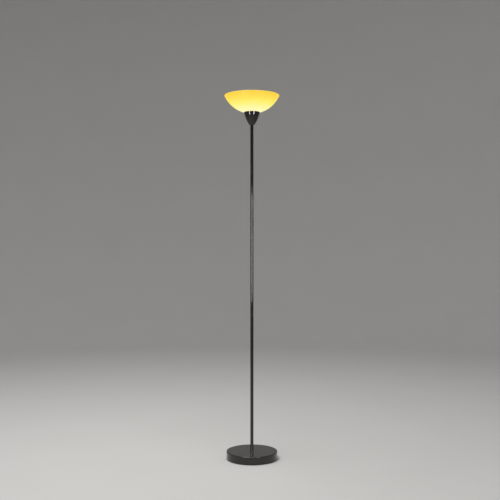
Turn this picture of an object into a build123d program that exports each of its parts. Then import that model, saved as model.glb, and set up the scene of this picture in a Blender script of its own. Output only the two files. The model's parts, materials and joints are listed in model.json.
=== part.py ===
from build123d import *

import os
from math import sqrt

# Torchiere floor lamp: a weighted round base, a plain pole in three tubes, a spun cup and an opal
# glass bowl that throws the light of one bulb at the ceiling.
#
# Millimetres. +Z is up, the origin is on the floor under the pole, and the mains cord enters the
# base from +Y, the back. Threads are plain cylinders a hair apart.

os.makedirs("parts", exist_ok=True)

# ---------------------------------------------------------------------------------------------
# Driving dimensions
# ---------------------------------------------------------------------------------------------

LAMP_HEIGHT = 1800.0  # floor to the rim of the shade
BASE_DIAMETER = 252.0
BASE_TOP = 40.0  # floor to the flat top of the base
POLE_DIAMETER = 16.0
POLE_WALL = 1.0
CUP_BOTTOM = 1653.0  # where the pole ends and the cup starts
CUP_DIAMETER = 79.0
SHADE_DIAMETER = 273.5  # at the rim's sharp corner, 272 once it is rounded
SHADE_DEPTH = 88.0  # rim to the lowest point of the bowl
GLASS = 3.0
SHEET = 1.0  # sheet steel of the base cover and the cup

# Base
COVER_BOTTOM = 2.0
COVER_EDGE = 3.0  # rounding of the base's top edge
HEM = 6.0  # width of the turned-in lower edge
PLATE = 1.5
PLATE_SLACK = 0.2  # radial, between the plate and the cover's wall
PLATE_RING = (74.0, 78.0)  # inner and outer radius of the ring pressed into the plate
PLATE_PRESS = 0.5  # its depth
FOOT_DIAMETER = 20.0
FOOT_EDGE = 0.6
FOOT_CIRCLE = 98.0  # radius that the feet stand on
WEIGHT_DIAMETER = 239.0
RECESS_DIAMETER = 44.0  # room under the weight for the nut
RECESS_ROOF = 24.0
WASHER_DIAMETER = 36.0
WASHER = 1.5

# Cord entry and the lead inside
CORD_HEIGHT = 11.0
CORD_BORE = 6.2
GROMMET_NECK = 9.9
GROMMET_SLACK = 0.05  # radial, between the grommet and its hole
GROMMET_BARB = 1.0  # how far its barb stands out behind the wall
GROMMET_TAPER = 0.2  # how far its inner end draws in
GROMMET_FLANGE = 13.0
GROMMET_INSIDE = 4.5  # how far the grommet reaches in from the base's outside
GROMMET_OUTSIDE = 2.0
CHANNEL_WIDTH = 9.0
LEAD_DIAMETER = 5.6
LEAD_BEND = 10.0  # radius of the lead's axis under the nipple
CORE_DIAMETER = 2.2
CORE_BEND = 1.8
CORE_OFFSET = 1.35  # from the lead's axis
CORE_START = 2.5  # straight stretch out of the sheath

# Threaded tube, M10 x 1, and what goes on it
NIPPLE_DIAMETER = 9.9
NIPPLE_BORE = 8.0
THREAD_HOLE = 10.0
CLEAR_HOLE = 10.6
JOINT_NIPPLE = 24.0
INSERT_LENGTH = 14.0
INSERT_SLACK = 0.01  # radial, between an insert and its tube
INSERT_LIFT = 0.1  # set back from a tube's lower end, so that neighbours stay two pieces
NIPPLE_END = 1.0  # how far a nipple stands past its nut, or short of its insert's end
TUBE_CHAMFER = 0.2
NUT_ACROSS = 14.0
NUT_HEIGHT = 3.5
TOOTH_DIAMETER = 16.0
TOOTH_HEIGHT = 0.8
TOOTH_COUNT = 12
TOOTH_GAP = (2.4, 1.2)

# Lampholder
HOLDER_BOTTOM = CUP_BOTTOM + 12.5
HOLDER_NECK = 8.0  # length of thread in its cap
HOLDER_NECK_RADIUS = 7.5
HOLDER_WALL = 2.0
HOLDER_FILLET = 2.0
HOLDER_CHAMFER = 0.5
HOLDER_SPLIT = CUP_BOTTOM + 32.0  # where the cap meets the body
HOLDER_TOP = CUP_BOTTOM + 73.0
HOLDER_RADIUS = 19.5
HOLDER_BORE = 17.5
SKIRT_RADIUS = 20.0  # the threaded skirt that the shade ring turns on
FLANGE_RADIUS = 26.0
FLANGE = 2.0
BLOCK_HEIGHT = 7.0
BLOCK_SLACK = 0.1
SHELL_RADIUS = 13.5
SHELL_WALL = 0.4
SHELL_HEIGHT = 27.0
SHELL_FLOOR = 4.5  # width of the ring that it stands on
TERMINAL = (6.0, 8.0, 5.0)
TERMINAL_OFFSET = 9.0
WIRE_OFFSET = 2.0  # from a terminal's middle
SCREW_OFFSET = -1.6
SCREW_RADIUS = 1.5
SCREW_SLACK = 0.05
SCREW_HEAD = 2.4  # radius
SCREW_HEAD_HEIGHT = 1.4
SCREW_SLOT = 0.6
TONGUE = 0.4  # the centre contact's thickness
TONGUE_WIDTH = 5.0
TONGUE_TOP = CUP_BOTTOM + 41.0

# Shade
SEAT_RADIUS = 31.0  # the flat in the bottom of the bowl
SEAT_WASHER = 1.0
WASHER_SLACK = 0.3  # radial, between the seat washer and the skirt
SHADE_HOLE = 42.0
RING_RADIUS = 27.0
RING_COLLAR = 23.0
RING_HEIGHT = 7.0
RING_FLANGE = 2.0
RING_SLACK = 0.05  # radial, between the ring and the skirt
RING_RIBS = 18
RING_RIB = (1.6, 2.4)
CUP_GAP = 0.3  # between the cup's rim and the glass

# Bulb
BULB_BOTTOM = TONGUE_TOP + 0.05  # tip of the bulb's centre contact
BULB_LENGTH = 104.0
DOME_RADIUS = 30.0
DOME_WALL = 1.2
DOME_JOINT = 61.0  # from the bulb's tip to the dome's lower edge
CAP_CREST = 13.1
CAP_ROOT = 12.2
CAP_BORE = 11.4
CAP_PITCH = 3.63
CAP_TURNS = 4
BODY_WALL = 1.6
CHIP_CIRCLE = 15.0
CHIP_COUNT = 10
CHIP_SIZE = 3.0
CHIP_HEIGHT = 0.8
CONTACT_RADIUS = 4.8
CONTACT_HEIGHT = 2.0
CONTACT_EDGE = 1.2
INSULATOR_TIP = 5.6  # radius of the glass cone's lower end
LED_BOARD = 1.5
LED_BOARD_SLACK = 1.6
LED_BOARD_DROP = 1.0  # below the dome's lower edge
DRIVER_WIDTH = 15.0
DRIVER_BOARD = 1.2
CAPACITOR_RADIUS = 4.0
CAPACITOR_EDGE = 0.6

# ---------------------------------------------------------------------------------------------
# Sizes that follow
# ---------------------------------------------------------------------------------------------

BASE_RADIUS = BASE_DIAMETER / 2
PLATE_BOTTOM = COVER_BOTTOM + SHEET
PLATE_TOP = PLATE_BOTTOM + PLATE
WEIGHT_TOP = BASE_TOP - SHEET
CHANNEL_ROOF = CORD_HEIGHT + CHANNEL_WIDTH / 2

POLE_RADIUS = POLE_DIAMETER / 2
TUBE_NAMES = ("pole_tube_lower", "pole_tube_middle", "pole_tube_upper")
TUBE_LENGTH = (CUP_BOTTOM - BASE_TOP) / len(TUBE_NAMES)
TUBE_STARTS = [BASE_TOP + number * TUBE_LENGTH for number in range(len(TUBE_NAMES))]

BASE_TOOTH = RECESS_ROOF - WASHER - TOOTH_HEIGHT  # undersides of what the base nipple carries
BASE_NUT = BASE_TOOTH - NUT_HEIGHT
BASE_NIPPLE = BASE_NUT - NIPPLE_END
CUP_TOOTH = CUP_BOTTOM + SHEET  # and of what the top nipple carries
CUP_NUT = CUP_TOOTH + TOOTH_HEIGHT
TOP_NIPPLE = CUP_BOTTOM - INSERT_LENGTH + NIPPLE_END
LEAD_END = HOLDER_BOTTOM + HOLDER_NECK + 2.0

SHADE_RADIUS = SHADE_DIAMETER / 2
BALL_RADIUS = (SHADE_RADIUS**2 + SHADE_DEPTH**2) / (2 * SHADE_DEPTH)
BALL_CENTRE = LAMP_HEIGHT - SHADE_DEPTH + BALL_RADIUS


def ball_height(radius, ball):
    """Height of the bowl's surface, a part of a ball, at this distance from the lamp's axis."""
    return BALL_CENTRE - sqrt(ball**2 - radius**2)


def ball_reach(height, ball):
    """Distance of the bowl's surface from the lamp's axis at this height."""
    return sqrt(ball**2 - (BALL_CENTRE - height) ** 2)


SEAT = ball_height(SEAT_RADIUS, BALL_RADIUS)  # underside of the flat in the bowl
CUP_RADIUS = CUP_DIAMETER / 2
CUP_TOP = ball_height(CUP_RADIUS - SHEET, BALL_RADIUS) - CUP_GAP

BLOCK_TOP = HOLDER_SPLIT + BLOCK_HEIGHT
CAP_BOTTOM = BULB_BOTTOM + 6.0
COLLAR_BOTTOM = CAP_BOTTOM + CAP_TURNS * CAP_PITCH + 2.5
CAP_TOP = COLLAR_BOTTOM + 5.0
DOME_BOTTOM = BULB_BOTTOM + DOME_JOINT
DOME_CENTRE = BULB_BOTTOM + BULB_LENGTH - DOME_RADIUS
DOME_MOUTH = sqrt(DOME_RADIUS**2 - (DOME_CENTRE - DOME_BOTTOM) ** 2)

# ---------------------------------------------------------------------------------------------
# Base
# ---------------------------------------------------------------------------------------------

# Stamped steel drum, open below, with its lower edge turned in under the plate
with BuildPart() as base_cover:
    with BuildSketch(Plane.XY.offset(COVER_BOTTOM)):
        Circle(BASE_RADIUS)
    extrude(amount=BASE_TOP - COVER_BOTTOM)
    fillet(base_cover.edges().group_by(Axis.Z)[-1], radius=COVER_EDGE)
    offset(amount=-SHEET, openings=base_cover.faces().sort_by(Axis.Z)[0])
    with BuildSketch(Plane.XY.offset(COVER_BOTTOM)):
        Circle(BASE_RADIUS - SHEET / 2)
        Circle(BASE_RADIUS - HEM, mode=Mode.SUBTRACT)
    extrude(amount=SHEET)
    with Locations((0, 0, BASE_TOP)):
        Hole(radius=CLEAR_HOLE / 2, depth=2 * SHEET)
    with BuildSketch(Plane.XZ.offset(-BASE_RADIUS)):
        with Locations((0, CORD_HEIGHT)):
            Circle(GROMMET_NECK / 2)
    extrude(amount=3 * SHEET, mode=Mode.SUBTRACT)
base_cover.part.label = "base_cover"
export_step(base_cover.part, "parts/base_cover.step")

# Cast concrete disc, with a recess below for the nut and a channel to the back for the lead
with BuildPart() as base_weight:
    with BuildSketch(Plane.XY.offset(PLATE_TOP)):
        Circle(WEIGHT_DIAMETER / 2)
    extrude(amount=WEIGHT_TOP - PLATE_TOP)
    chamfer(base_weight.edges().group_by(Axis.Z)[-1], length=COVER_EDGE)
    with BuildSketch(Plane.XY.offset(PLATE_TOP)):
        Circle(RECESS_DIAMETER / 2)
    extrude(amount=RECESS_ROOF - PLATE_TOP, mode=Mode.SUBTRACT)
    with BuildSketch(Plane.XY.offset(PLATE_TOP)):
        with Locations((0, BASE_RADIUS / 2)):
            Rectangle(CHANNEL_WIDTH, BASE_RADIUS)
    extrude(amount=CHANNEL_ROOF - PLATE_TOP, mode=Mode.SUBTRACT)
    with Locations((0, 0, WEIGHT_TOP)):
        Hole(radius=CLEAR_HOLE / 2, depth=WEIGHT_TOP - RECESS_ROOF)
base_weight.part.label = "base_weight"
export_step(base_weight.part, "parts/base_weight.step")

# Steel plate that closes the underside, stiffened by one pressed ring
with BuildPart() as base_plate:
    with BuildSketch(Plane.XY.offset(PLATE_BOTTOM)):
        Circle(BASE_RADIUS - SHEET - PLATE_SLACK)
    extrude(amount=PLATE)
    with BuildSketch(Plane.XY.offset(PLATE_BOTTOM)):
        Circle(PLATE_RING[1])
        Circle(PLATE_RING[0], mode=Mode.SUBTRACT)
    extrude(amount=PLATE_PRESS, mode=Mode.SUBTRACT)
base_plate.part.label = "base_plate"
export_step(base_plate.part, "parts/base_plate.step")

# Four rubber feet under the plate
with BuildPart() as rubber_feet:
    with BuildSketch():
        with PolarLocations(FOOT_CIRCLE, 4, start_angle=45):
            Circle(FOOT_DIAMETER / 2)
    extrude(amount=PLATE_BOTTOM)
    fillet(rubber_feet.edges().group_by(Axis.Z)[0], radius=FOOT_EDGE)
rubber_feet.part.label = "rubber_feet"
export_step(rubber_feet.part, "parts/rubber_feet.step")

# Bush in the back wall that the mains cord comes in by. It snaps in with its flange outside.
GROMMET_START = BASE_RADIUS - GROMMET_INSIDE
BARB_START = BASE_RADIUS - 1.4 * SHEET  # just behind the wall, which curves away to each side
with BuildPart() as cord_grommet:
    with BuildSketch(Plane.XZ.offset(-BASE_RADIUS - GROMMET_OUTSIDE)):
        with Locations((0, CORD_HEIGHT)):
            Circle(GROMMET_FLANGE / 2)
    extrude(amount=GROMMET_OUTSIDE)
    fillet(cord_grommet.edges().group_by(Axis.Y)[-1], radius=GROMMET_OUTSIDE / 2)
    with BuildSketch(Plane.XZ.offset(-BASE_RADIUS)):
        with Locations((0, CORD_HEIGHT)):
            Circle(GROMMET_NECK / 2 - GROMMET_SLACK)
    extrude(amount=GROMMET_INSIDE)
    with BuildSketch(Plane.XZ.offset(-GROMMET_START)):
        with Locations((0, CORD_HEIGHT)):
            Circle(GROMMET_NECK / 2 - GROMMET_TAPER)
    with BuildSketch(Plane.XZ.offset(-BARB_START)):
        with Locations((0, CORD_HEIGHT)):
            Circle(GROMMET_NECK / 2 + GROMMET_BARB)
    loft()
    with BuildSketch(Plane.XZ.offset(-BASE_RADIUS - GROMMET_OUTSIDE)):
        with Locations((0, CORD_HEIGHT)):
            Circle(CORD_BORE / 2)
    extrude(amount=GROMMET_OUTSIDE + GROMMET_INSIDE, mode=Mode.SUBTRACT)
cord_grommet.part.label = "cord_grommet"
export_step(cord_grommet.part, "parts/cord_grommet.step")

# Large washer that spreads the nut's pull over the concrete
with BuildPart() as base_washer:
    with BuildSketch(Plane.XY.offset(RECESS_ROOF - WASHER)):
        Circle(WASHER_DIAMETER / 2)
        Circle(CLEAR_HOLE / 2, mode=Mode.SUBTRACT)
    extrude(amount=WASHER)
base_washer.part.label = "base_washer"
export_step(base_washer.part, "parts/base_washer.step")

# Two toothed lock washers: over the nut in the base, and under the nut in the cup
with BuildPart() as tooth_washers:
    for bottom in (BASE_TOOTH, CUP_TOOTH):
        with BuildSketch(Plane.XY.offset(bottom)):
            Circle(TOOTH_DIAMETER / 2)
            Circle(CLEAR_HOLE / 2, mode=Mode.SUBTRACT)
            with PolarLocations(TOOTH_DIAMETER / 2, TOOTH_COUNT):
                Rectangle(*TOOTH_GAP, mode=Mode.SUBTRACT)
        extrude(amount=TOOTH_HEIGHT)
tooth_washers.part.label = "tooth_washers"
export_step(tooth_washers.part, "parts/tooth_washers.step")

# Two flat hexagon nuts, one in the base and one in the cup
with BuildPart() as hex_nuts:
    for bottom in (BASE_NUT, CUP_NUT):
        with BuildSketch(Plane.XY.offset(bottom)):
            RegularPolygon(radius=NUT_ACROSS / 2, side_count=6, major_radius=False)
            Circle(THREAD_HOLE / 2, mode=Mode.SUBTRACT)
        extrude(amount=NUT_HEIGHT)
hex_nuts.part.label = "hex_nuts"
export_step(hex_nuts.part, "parts/hex_nuts.step")

# Hollow threaded rod that ties weight, cover and pole together
with BuildPart() as base_nipple:
    with BuildSketch(Plane.XY.offset(BASE_NIPPLE)):
        Circle(NIPPLE_DIAMETER / 2)
        Circle(NIPPLE_BORE / 2, mode=Mode.SUBTRACT)
    extrude(amount=BASE_TOP + JOINT_NIPPLE / 2 - BASE_NIPPLE)
base_nipple.part.label = "base_nipple"
export_step(base_nipple.part, "parts/base_nipple.step")

# ---------------------------------------------------------------------------------------------
# Pole
# ---------------------------------------------------------------------------------------------

# Three equal steel tubes, end to end
for name, start in zip(TUBE_NAMES, TUBE_STARTS):
    with BuildPart() as pole_tube:
        with BuildSketch(Plane.XY.offset(start)):
            Circle(POLE_RADIUS)
            Circle(POLE_RADIUS - POLE_WALL, mode=Mode.SUBTRACT)
        extrude(amount=TUBE_LENGTH)
        outer_ends = pole_tube.edges().filter_by(GeomType.CIRCLE).sort_by(SortBy.RADIUS)[-2:]
        chamfer(outer_ends, length=TUBE_CHAMFER)
    pole_tube.part.label = name
    export_step(pole_tube.part, f"parts/{name}.step")

# A threaded bush pressed into each end of each tube
with BuildPart() as tube_inserts:
    for start in TUBE_STARTS:
        for bottom in (start, start + TUBE_LENGTH - INSERT_LENGTH):
            lift = INSERT_LIFT if bottom == start else 0.0
            with BuildSketch(Plane.XY.offset(bottom + lift)):
                Circle(POLE_RADIUS - POLE_WALL - INSERT_SLACK)
                Circle(THREAD_HOLE / 2, mode=Mode.SUBTRACT)
            extrude(amount=INSERT_LENGTH - lift)
tube_inserts.part.label = "tube_inserts"
export_step(tube_inserts.part, "parts/tube_inserts.step")

# Hollow threaded rods that join one tube to the next
with BuildPart() as joint_nipples:
    for joint in TUBE_STARTS[1:]:
        with BuildSketch(Plane.XY.offset(joint - JOINT_NIPPLE / 2)):
            Circle(NIPPLE_DIAMETER / 2)
            Circle(NIPPLE_BORE / 2, mode=Mode.SUBTRACT)
        extrude(amount=JOINT_NIPPLE)
joint_nipples.part.label = "joint_nipples"
export_step(joint_nipples.part, "parts/joint_nipples.step")

# Hollow threaded rod that carries the cup and the lampholder
with BuildPart() as top_nipple:
    with BuildSketch(Plane.XY.offset(TOP_NIPPLE)):
        Circle(NIPPLE_DIAMETER / 2)
        Circle(NIPPLE_BORE / 2, mode=Mode.SUBTRACT)
    extrude(amount=HOLDER_BOTTOM + HOLDER_NECK - NIPPLE_END / 2 - TOP_NIPPLE)
top_nipple.part.label = "top_nipple"
export_step(top_nipple.part, "parts/top_nipple.step")

# ---------------------------------------------------------------------------------------------
# Wiring, which stays inside the lamp all the way
# ---------------------------------------------------------------------------------------------

# Sheathed lead: in at the back, along the channel, up through the nipples and the pole
with BuildPart() as mains_lead:
    with BuildLine() as lead_route:
        FilletPolyline(
            (0, GROMMET_START, CORD_HEIGHT),
            (0, 0, CORD_HEIGHT),
            (0, 0, LEAD_END),
            radius=LEAD_BEND,
        )
    with BuildSketch(Plane.XZ.offset(-GROMMET_START)):
        with Locations((0, CORD_HEIGHT)):
            Circle(LEAD_DIAMETER / 2)
    sweep()
mains_lead.part.label = "mains_lead"
export_step(mains_lead.part, "parts/mains_lead.step")

# Its two cores, from the end of the sheath to the terminals
TERMINAL_BOTTOM = HOLDER_SPLIT + 0.5
CORE_RISE = 3.0  # straight stretch below the terminal
CORE_END = TERMINAL_BOTTOM + TERMINAL[2] / 2
for name, side in (("live_core", 1), ("neutral_core", -1)):
    with BuildPart() as core:
        with BuildLine():
            FilletPolyline(
                (side * CORE_OFFSET, 0, LEAD_END),
                (side * CORE_OFFSET, 0, LEAD_END + CORE_START),
                (side * TERMINAL_OFFSET, WIRE_OFFSET, TERMINAL_BOTTOM - CORE_RISE),
                (side * TERMINAL_OFFSET, WIRE_OFFSET, CORE_END),
                radius=CORE_BEND,
            )
        with BuildSketch(Plane.XY.offset(LEAD_END)):
            with Locations((side * CORE_OFFSET, 0)):
                Circle(CORE_DIAMETER / 2)
        sweep()
    core.part.label = name
    export_step(core.part, f"parts/{name}.step")

# ---------------------------------------------------------------------------------------------
# Cup and lampholder
# ---------------------------------------------------------------------------------------------

# Spun steel cup: a flat bottom on the pole, a tight turn, then one long curve to the rim
CUP_FLAT = POLE_RADIUS + 1.5
CUP_TURN = 5.0
CUP_RISE = 55.0  # degrees that the tight turn goes through
with BuildPart() as cup:
    with BuildSketch(Plane.XZ):
        with BuildLine():
            floor_line = Line((CLEAR_HOLE / 2, CUP_BOTTOM), (CUP_FLAT, CUP_BOTTOM))
            turn = JernArc(start=floor_line @ 1, tangent=(1, 0), radius=CUP_TURN, arc_size=CUP_RISE)
            wall = TangentArc(turn @ 1, (CUP_RADIUS, CUP_TOP), tangent=turn % 1)
            rim = Line(wall @ 1, (CUP_RADIUS - SHEET, CUP_TOP))
            inner_turn = JernArc(
                start=(CUP_FLAT, CUP_BOTTOM + SHEET),
                tangent=(1, 0),
                radius=CUP_TURN - SHEET,
                arc_size=CUP_RISE,
            )
            TangentArc(inner_turn @ 1, rim @ 1, tangent=inner_turn % 1)
            inner_floor = Line(inner_turn @ 0, (CLEAR_HOLE / 2, CUP_BOTTOM + SHEET))
            Line(inner_floor @ 1, floor_line @ 0)
        make_face()
    revolve(axis=Axis.Z)
cup.part.label = "cup"
export_step(cup.part, "parts/cup.step")

# Lower half of the lampholder, screwed onto the top nipple
SHOULDER = HOLDER_BOTTOM + HOLDER_NECK + 5.0
with BuildPart() as holder_cap:
    with BuildSketch(Plane.XZ):
        with BuildLine():
            Polyline(
                (THREAD_HOLE / 2, HOLDER_BOTTOM),
                (HOLDER_NECK_RADIUS, HOLDER_BOTTOM),
                (HOLDER_NECK_RADIUS, HOLDER_BOTTOM + HOLDER_NECK - HOLDER_WALL),
                (HOLDER_RADIUS, SHOULDER),
                (HOLDER_RADIUS, HOLDER_SPLIT),
                (HOLDER_BORE, HOLDER_SPLIT),
                (HOLDER_BORE, SHOULDER + HOLDER_WALL / 2),
                (HOLDER_NECK_RADIUS, HOLDER_BOTTOM + HOLDER_NECK),
                (THREAD_HOLE / 2, HOLDER_BOTTOM + HOLDER_NECK),
                close=True,
            )
        make_face()
    revolve(axis=Axis.Z)
    shoulder_edge = holder_cap.edges().filter_by(GeomType.CIRCLE).filter_by_position(
        Axis.Z, SHOULDER - 0.1, SHOULDER + 0.1
    )
    fillet(shoulder_edge, radius=HOLDER_FILLET)
holder_cap.part.label = "holder_cap"
export_step(holder_cap.part, "parts/holder_cap.step")

# Upper half: a barrel, the flange that the shade sits on, and the threaded skirt above it
FLANGE_TOP = SEAT - SEAT_WASHER
with BuildPart() as holder_body:
    with BuildSketch(Plane.XZ):
        with BuildLine():
            Polyline(
                (HOLDER_BORE, HOLDER_SPLIT),
                (HOLDER_RADIUS, HOLDER_SPLIT),
                (HOLDER_RADIUS, FLANGE_TOP - FLANGE),
                (FLANGE_RADIUS, FLANGE_TOP - FLANGE),
                (FLANGE_RADIUS, FLANGE_TOP),
                (SKIRT_RADIUS, FLANGE_TOP),
                (SKIRT_RADIUS, HOLDER_TOP),
                (HOLDER_BORE, HOLDER_TOP),
                close=True,
            )
        make_face()
    revolve(axis=Axis.Z)
    chamfer(holder_body.edges().group_by(Axis.Z)[-1], length=HOLDER_CHAMFER)
holder_body.part.label = "holder_body"
export_step(holder_body.part, "parts/holder_body.step")

# Insulating block with a pocket for each terminal
with BuildPart() as contact_block:
    with BuildSketch(Plane.XY.offset(HOLDER_SPLIT)):
        Circle(HOLDER_BORE - BLOCK_SLACK)
    extrude(amount=BLOCK_HEIGHT)
    with BuildSketch(Plane.XY.offset(HOLDER_SPLIT)):
        with Locations((TERMINAL_OFFSET, 0), (-TERMINAL_OFFSET, 0)):
            Rectangle(TERMINAL[0] + 2 * BLOCK_SLACK, TERMINAL[1] + 2 * BLOCK_SLACK)
    extrude(amount=TERMINAL_BOTTOM + TERMINAL[2] + BLOCK_SLACK - HOLDER_SPLIT, mode=Mode.SUBTRACT)
contact_block.part.label = "contact_block"
export_step(contact_block.part, "parts/contact_block.step")

# Brass blocks that clamp the cores, each with a wire hole and a screw hole from below
with BuildPart() as terminals:
    for side in (1, -1):
        with BuildSketch(Plane.XY.offset(TERMINAL_BOTTOM)):
            with Locations((side * TERMINAL_OFFSET, 0)):
                Rectangle(TERMINAL[0], TERMINAL[1])
            with Locations((side * TERMINAL_OFFSET, SCREW_OFFSET)):
                Circle(SCREW_RADIUS, mode=Mode.SUBTRACT)
        extrude(amount=TERMINAL[2])
        with BuildSketch(Plane.XY.offset(TERMINAL_BOTTOM)):
            with Locations((side * TERMINAL_OFFSET, WIRE_OFFSET)):
                Circle(CORE_DIAMETER / 2 + 0.05)
        extrude(amount=CORE_END - TERMINAL_BOTTOM + 0.5, mode=Mode.SUBTRACT)
terminals.part.label = "terminals"
export_step(terminals.part, "parts/terminals.step")

# Their slotted screws, heads down
with BuildPart() as terminal_screws:
    for side in (1, -1):
        with BuildSketch(Plane.XY.offset(TERMINAL_BOTTOM - SCREW_HEAD_HEIGHT)):
            with Locations((side * TERMINAL_OFFSET, SCREW_OFFSET)):
                Circle(SCREW_HEAD)
        extrude(amount=SCREW_HEAD_HEIGHT)
        with BuildSketch(Plane.XY.offset(TERMINAL_BOTTOM)):
            with Locations((side * TERMINAL_OFFSET, SCREW_OFFSET)):
                Circle(SCREW_RADIUS - SCREW_SLACK)
        extrude(amount=0.9 * TERMINAL[2])
        with BuildSketch(Plane.XY.offset(TERMINAL_BOTTOM - SCREW_HEAD_HEIGHT)):
            with Locations((side * TERMINAL_OFFSET, SCREW_OFFSET)):
                Rectangle(3 * SCREW_HEAD, SCREW_SLOT)
        extrude(amount=SCREW_HEAD_HEIGHT / 2, mode=Mode.SUBTRACT)
terminal_screws.part.label = "terminal_screws"
export_step(terminal_screws.part, "parts/terminal_screws.step")

# Brass shell that the bulb screws into, with a floor ring that rests on the block
with BuildPart() as screw_shell:
    with BuildSketch(Plane.XY.offset(BLOCK_TOP)):
        Circle(SHELL_RADIUS + SHELL_WALL)
        Circle(SHELL_RADIUS, mode=Mode.SUBTRACT)
    extrude(amount=SHELL_HEIGHT)
    with BuildSketch(Plane.XY.offset(BLOCK_TOP)):
        Circle(SHELL_RADIUS + SHELL_WALL)
        Circle(SHELL_RADIUS - SHELL_FLOOR, mode=Mode.SUBTRACT)
    extrude(amount=SHELL_WALL)
screw_shell.part.label = "screw_shell"
export_step(screw_shell.part, "parts/screw_shell.step")

# Springy tongue under the tip of the bulb: a foot, a slope and a flat
TONGUE_STATIONS = (-7.0, -4.0, -2.2, 2.8)
with BuildPart() as centre_contact:
    with BuildSketch(Plane.XZ):
        with BuildLine():
            Polyline(
                (TONGUE_STATIONS[0], BLOCK_TOP + TONGUE / 2),
                (TONGUE_STATIONS[1], BLOCK_TOP + TONGUE / 2),
                (TONGUE_STATIONS[2], TONGUE_TOP - TONGUE / 2),
                (TONGUE_STATIONS[3], TONGUE_TOP - TONGUE / 2),
            )
        trace(line_width=TONGUE)
    extrude(amount=TONGUE_WIDTH / 2, both=True)
centre_contact.part.label = "centre_contact"
export_step(centre_contact.part, "parts/centre_contact.step")

# ---------------------------------------------------------------------------------------------
# Shade
# ---------------------------------------------------------------------------------------------

# Silicone ring on the lampholder's flange, under the glass
with BuildPart() as seat_washer:
    with BuildSketch(Plane.XY.offset(FLANGE_TOP)):
        Circle(FLANGE_RADIUS)
        Circle(SKIRT_RADIUS + WASHER_SLACK, mode=Mode.SUBTRACT)
    extrude(amount=SEAT_WASHER)
seat_washer.part.label = "seat_washer"
export_step(seat_washer.part, "parts/seat_washer.step")

# Opal glass bowl: part of a ball, with a flat and a hole at the bottom and a melted round rim
INNER_BALL = BALL_RADIUS - GLASS
INNER_RIM = ball_reach(LAMP_HEIGHT, INNER_BALL)
INNER_FLAT = ball_reach(SEAT + GLASS, INNER_BALL)
with BuildPart() as shade_bowl:
    with BuildSketch(Plane.XZ):
        with BuildLine():
            Line((SHADE_HOLE / 2, SEAT), (SEAT_RADIUS, SEAT))
            RadiusArc((SEAT_RADIUS, SEAT), (SHADE_RADIUS, LAMP_HEIGHT), -BALL_RADIUS)
            Line((SHADE_RADIUS, LAMP_HEIGHT), (INNER_RIM, LAMP_HEIGHT))
            RadiusArc((INNER_RIM, LAMP_HEIGHT), (INNER_FLAT, SEAT + GLASS), INNER_BALL)
            Line((INNER_FLAT, SEAT + GLASS), (SHADE_HOLE / 2, SEAT + GLASS))
            Line((SHADE_HOLE / 2, SEAT + GLASS), (SHADE_HOLE / 2, SEAT))
        make_face()
    revolve(axis=Axis.Z)
    fillet(shade_bowl.edges().group_by(Axis.Z)[-1], radius=0.45 * GLASS)
shade_bowl.part.label = "shade_bowl"
export_step(shade_bowl.part, "parts/shade_bowl.step")

# Ring that screws down on the glass: a flange, and a collar with ribs for the fingers
RING_BOTTOM = SEAT + GLASS
with BuildPart() as shade_ring:
    with BuildSketch(Plane.XY.offset(RING_BOTTOM)):
        Circle(RING_RADIUS)
    extrude(amount=RING_FLANGE)
    with BuildSketch(Plane.XY.offset(RING_BOTTOM)):
        Circle(RING_COLLAR)
        with PolarLocations(RING_COLLAR, RING_RIBS):
            Rectangle(*RING_RIB)
    extrude(amount=RING_HEIGHT)
    with BuildSketch(Plane.XY.offset(RING_BOTTOM)):
        Circle(SKIRT_RADIUS + RING_SLACK)
    extrude(amount=RING_HEIGHT, mode=Mode.SUBTRACT)
shade_ring.part.label = "shade_ring"
export_step(shade_ring.part, "parts/shade_ring.step")

# ---------------------------------------------------------------------------------------------
# Bulb
# ---------------------------------------------------------------------------------------------

# Centre contact
with BuildPart() as bulb_contact:
    with BuildSketch(Plane.XY.offset(BULB_BOTTOM)):
        Circle(CONTACT_RADIUS)
    extrude(amount=CONTACT_HEIGHT)
    fillet(bulb_contact.edges().group_by(Axis.Z)[0], radius=CONTACT_EDGE)
bulb_contact.part.label = "bulb_contact"
export_step(bulb_contact.part, "parts/bulb_contact.step")

# Glass cone between the contact and the screw cap
INSULATOR_RADIUS = CAP_BORE - 0.1
INSULATOR_TOP = CAP_BOTTOM + 1.5
with BuildPart() as bulb_insulator:
    with BuildSketch(Plane.XZ):
        with BuildLine():
            Polyline(
                (0, BULB_BOTTOM + CONTACT_HEIGHT),
                (INSULATOR_TIP, BULB_BOTTOM + CONTACT_HEIGHT),
                (INSULATOR_RADIUS, CAP_BOTTOM),
                (INSULATOR_RADIUS, INSULATOR_TOP),
                (0, INSULATOR_TOP),
                close=True,
            )
        make_face()
    revolve(axis=Axis.Z)
bulb_insulator.part.label = "bulb_insulator"
export_step(bulb_insulator.part, "parts/bulb_insulator.step")

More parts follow.
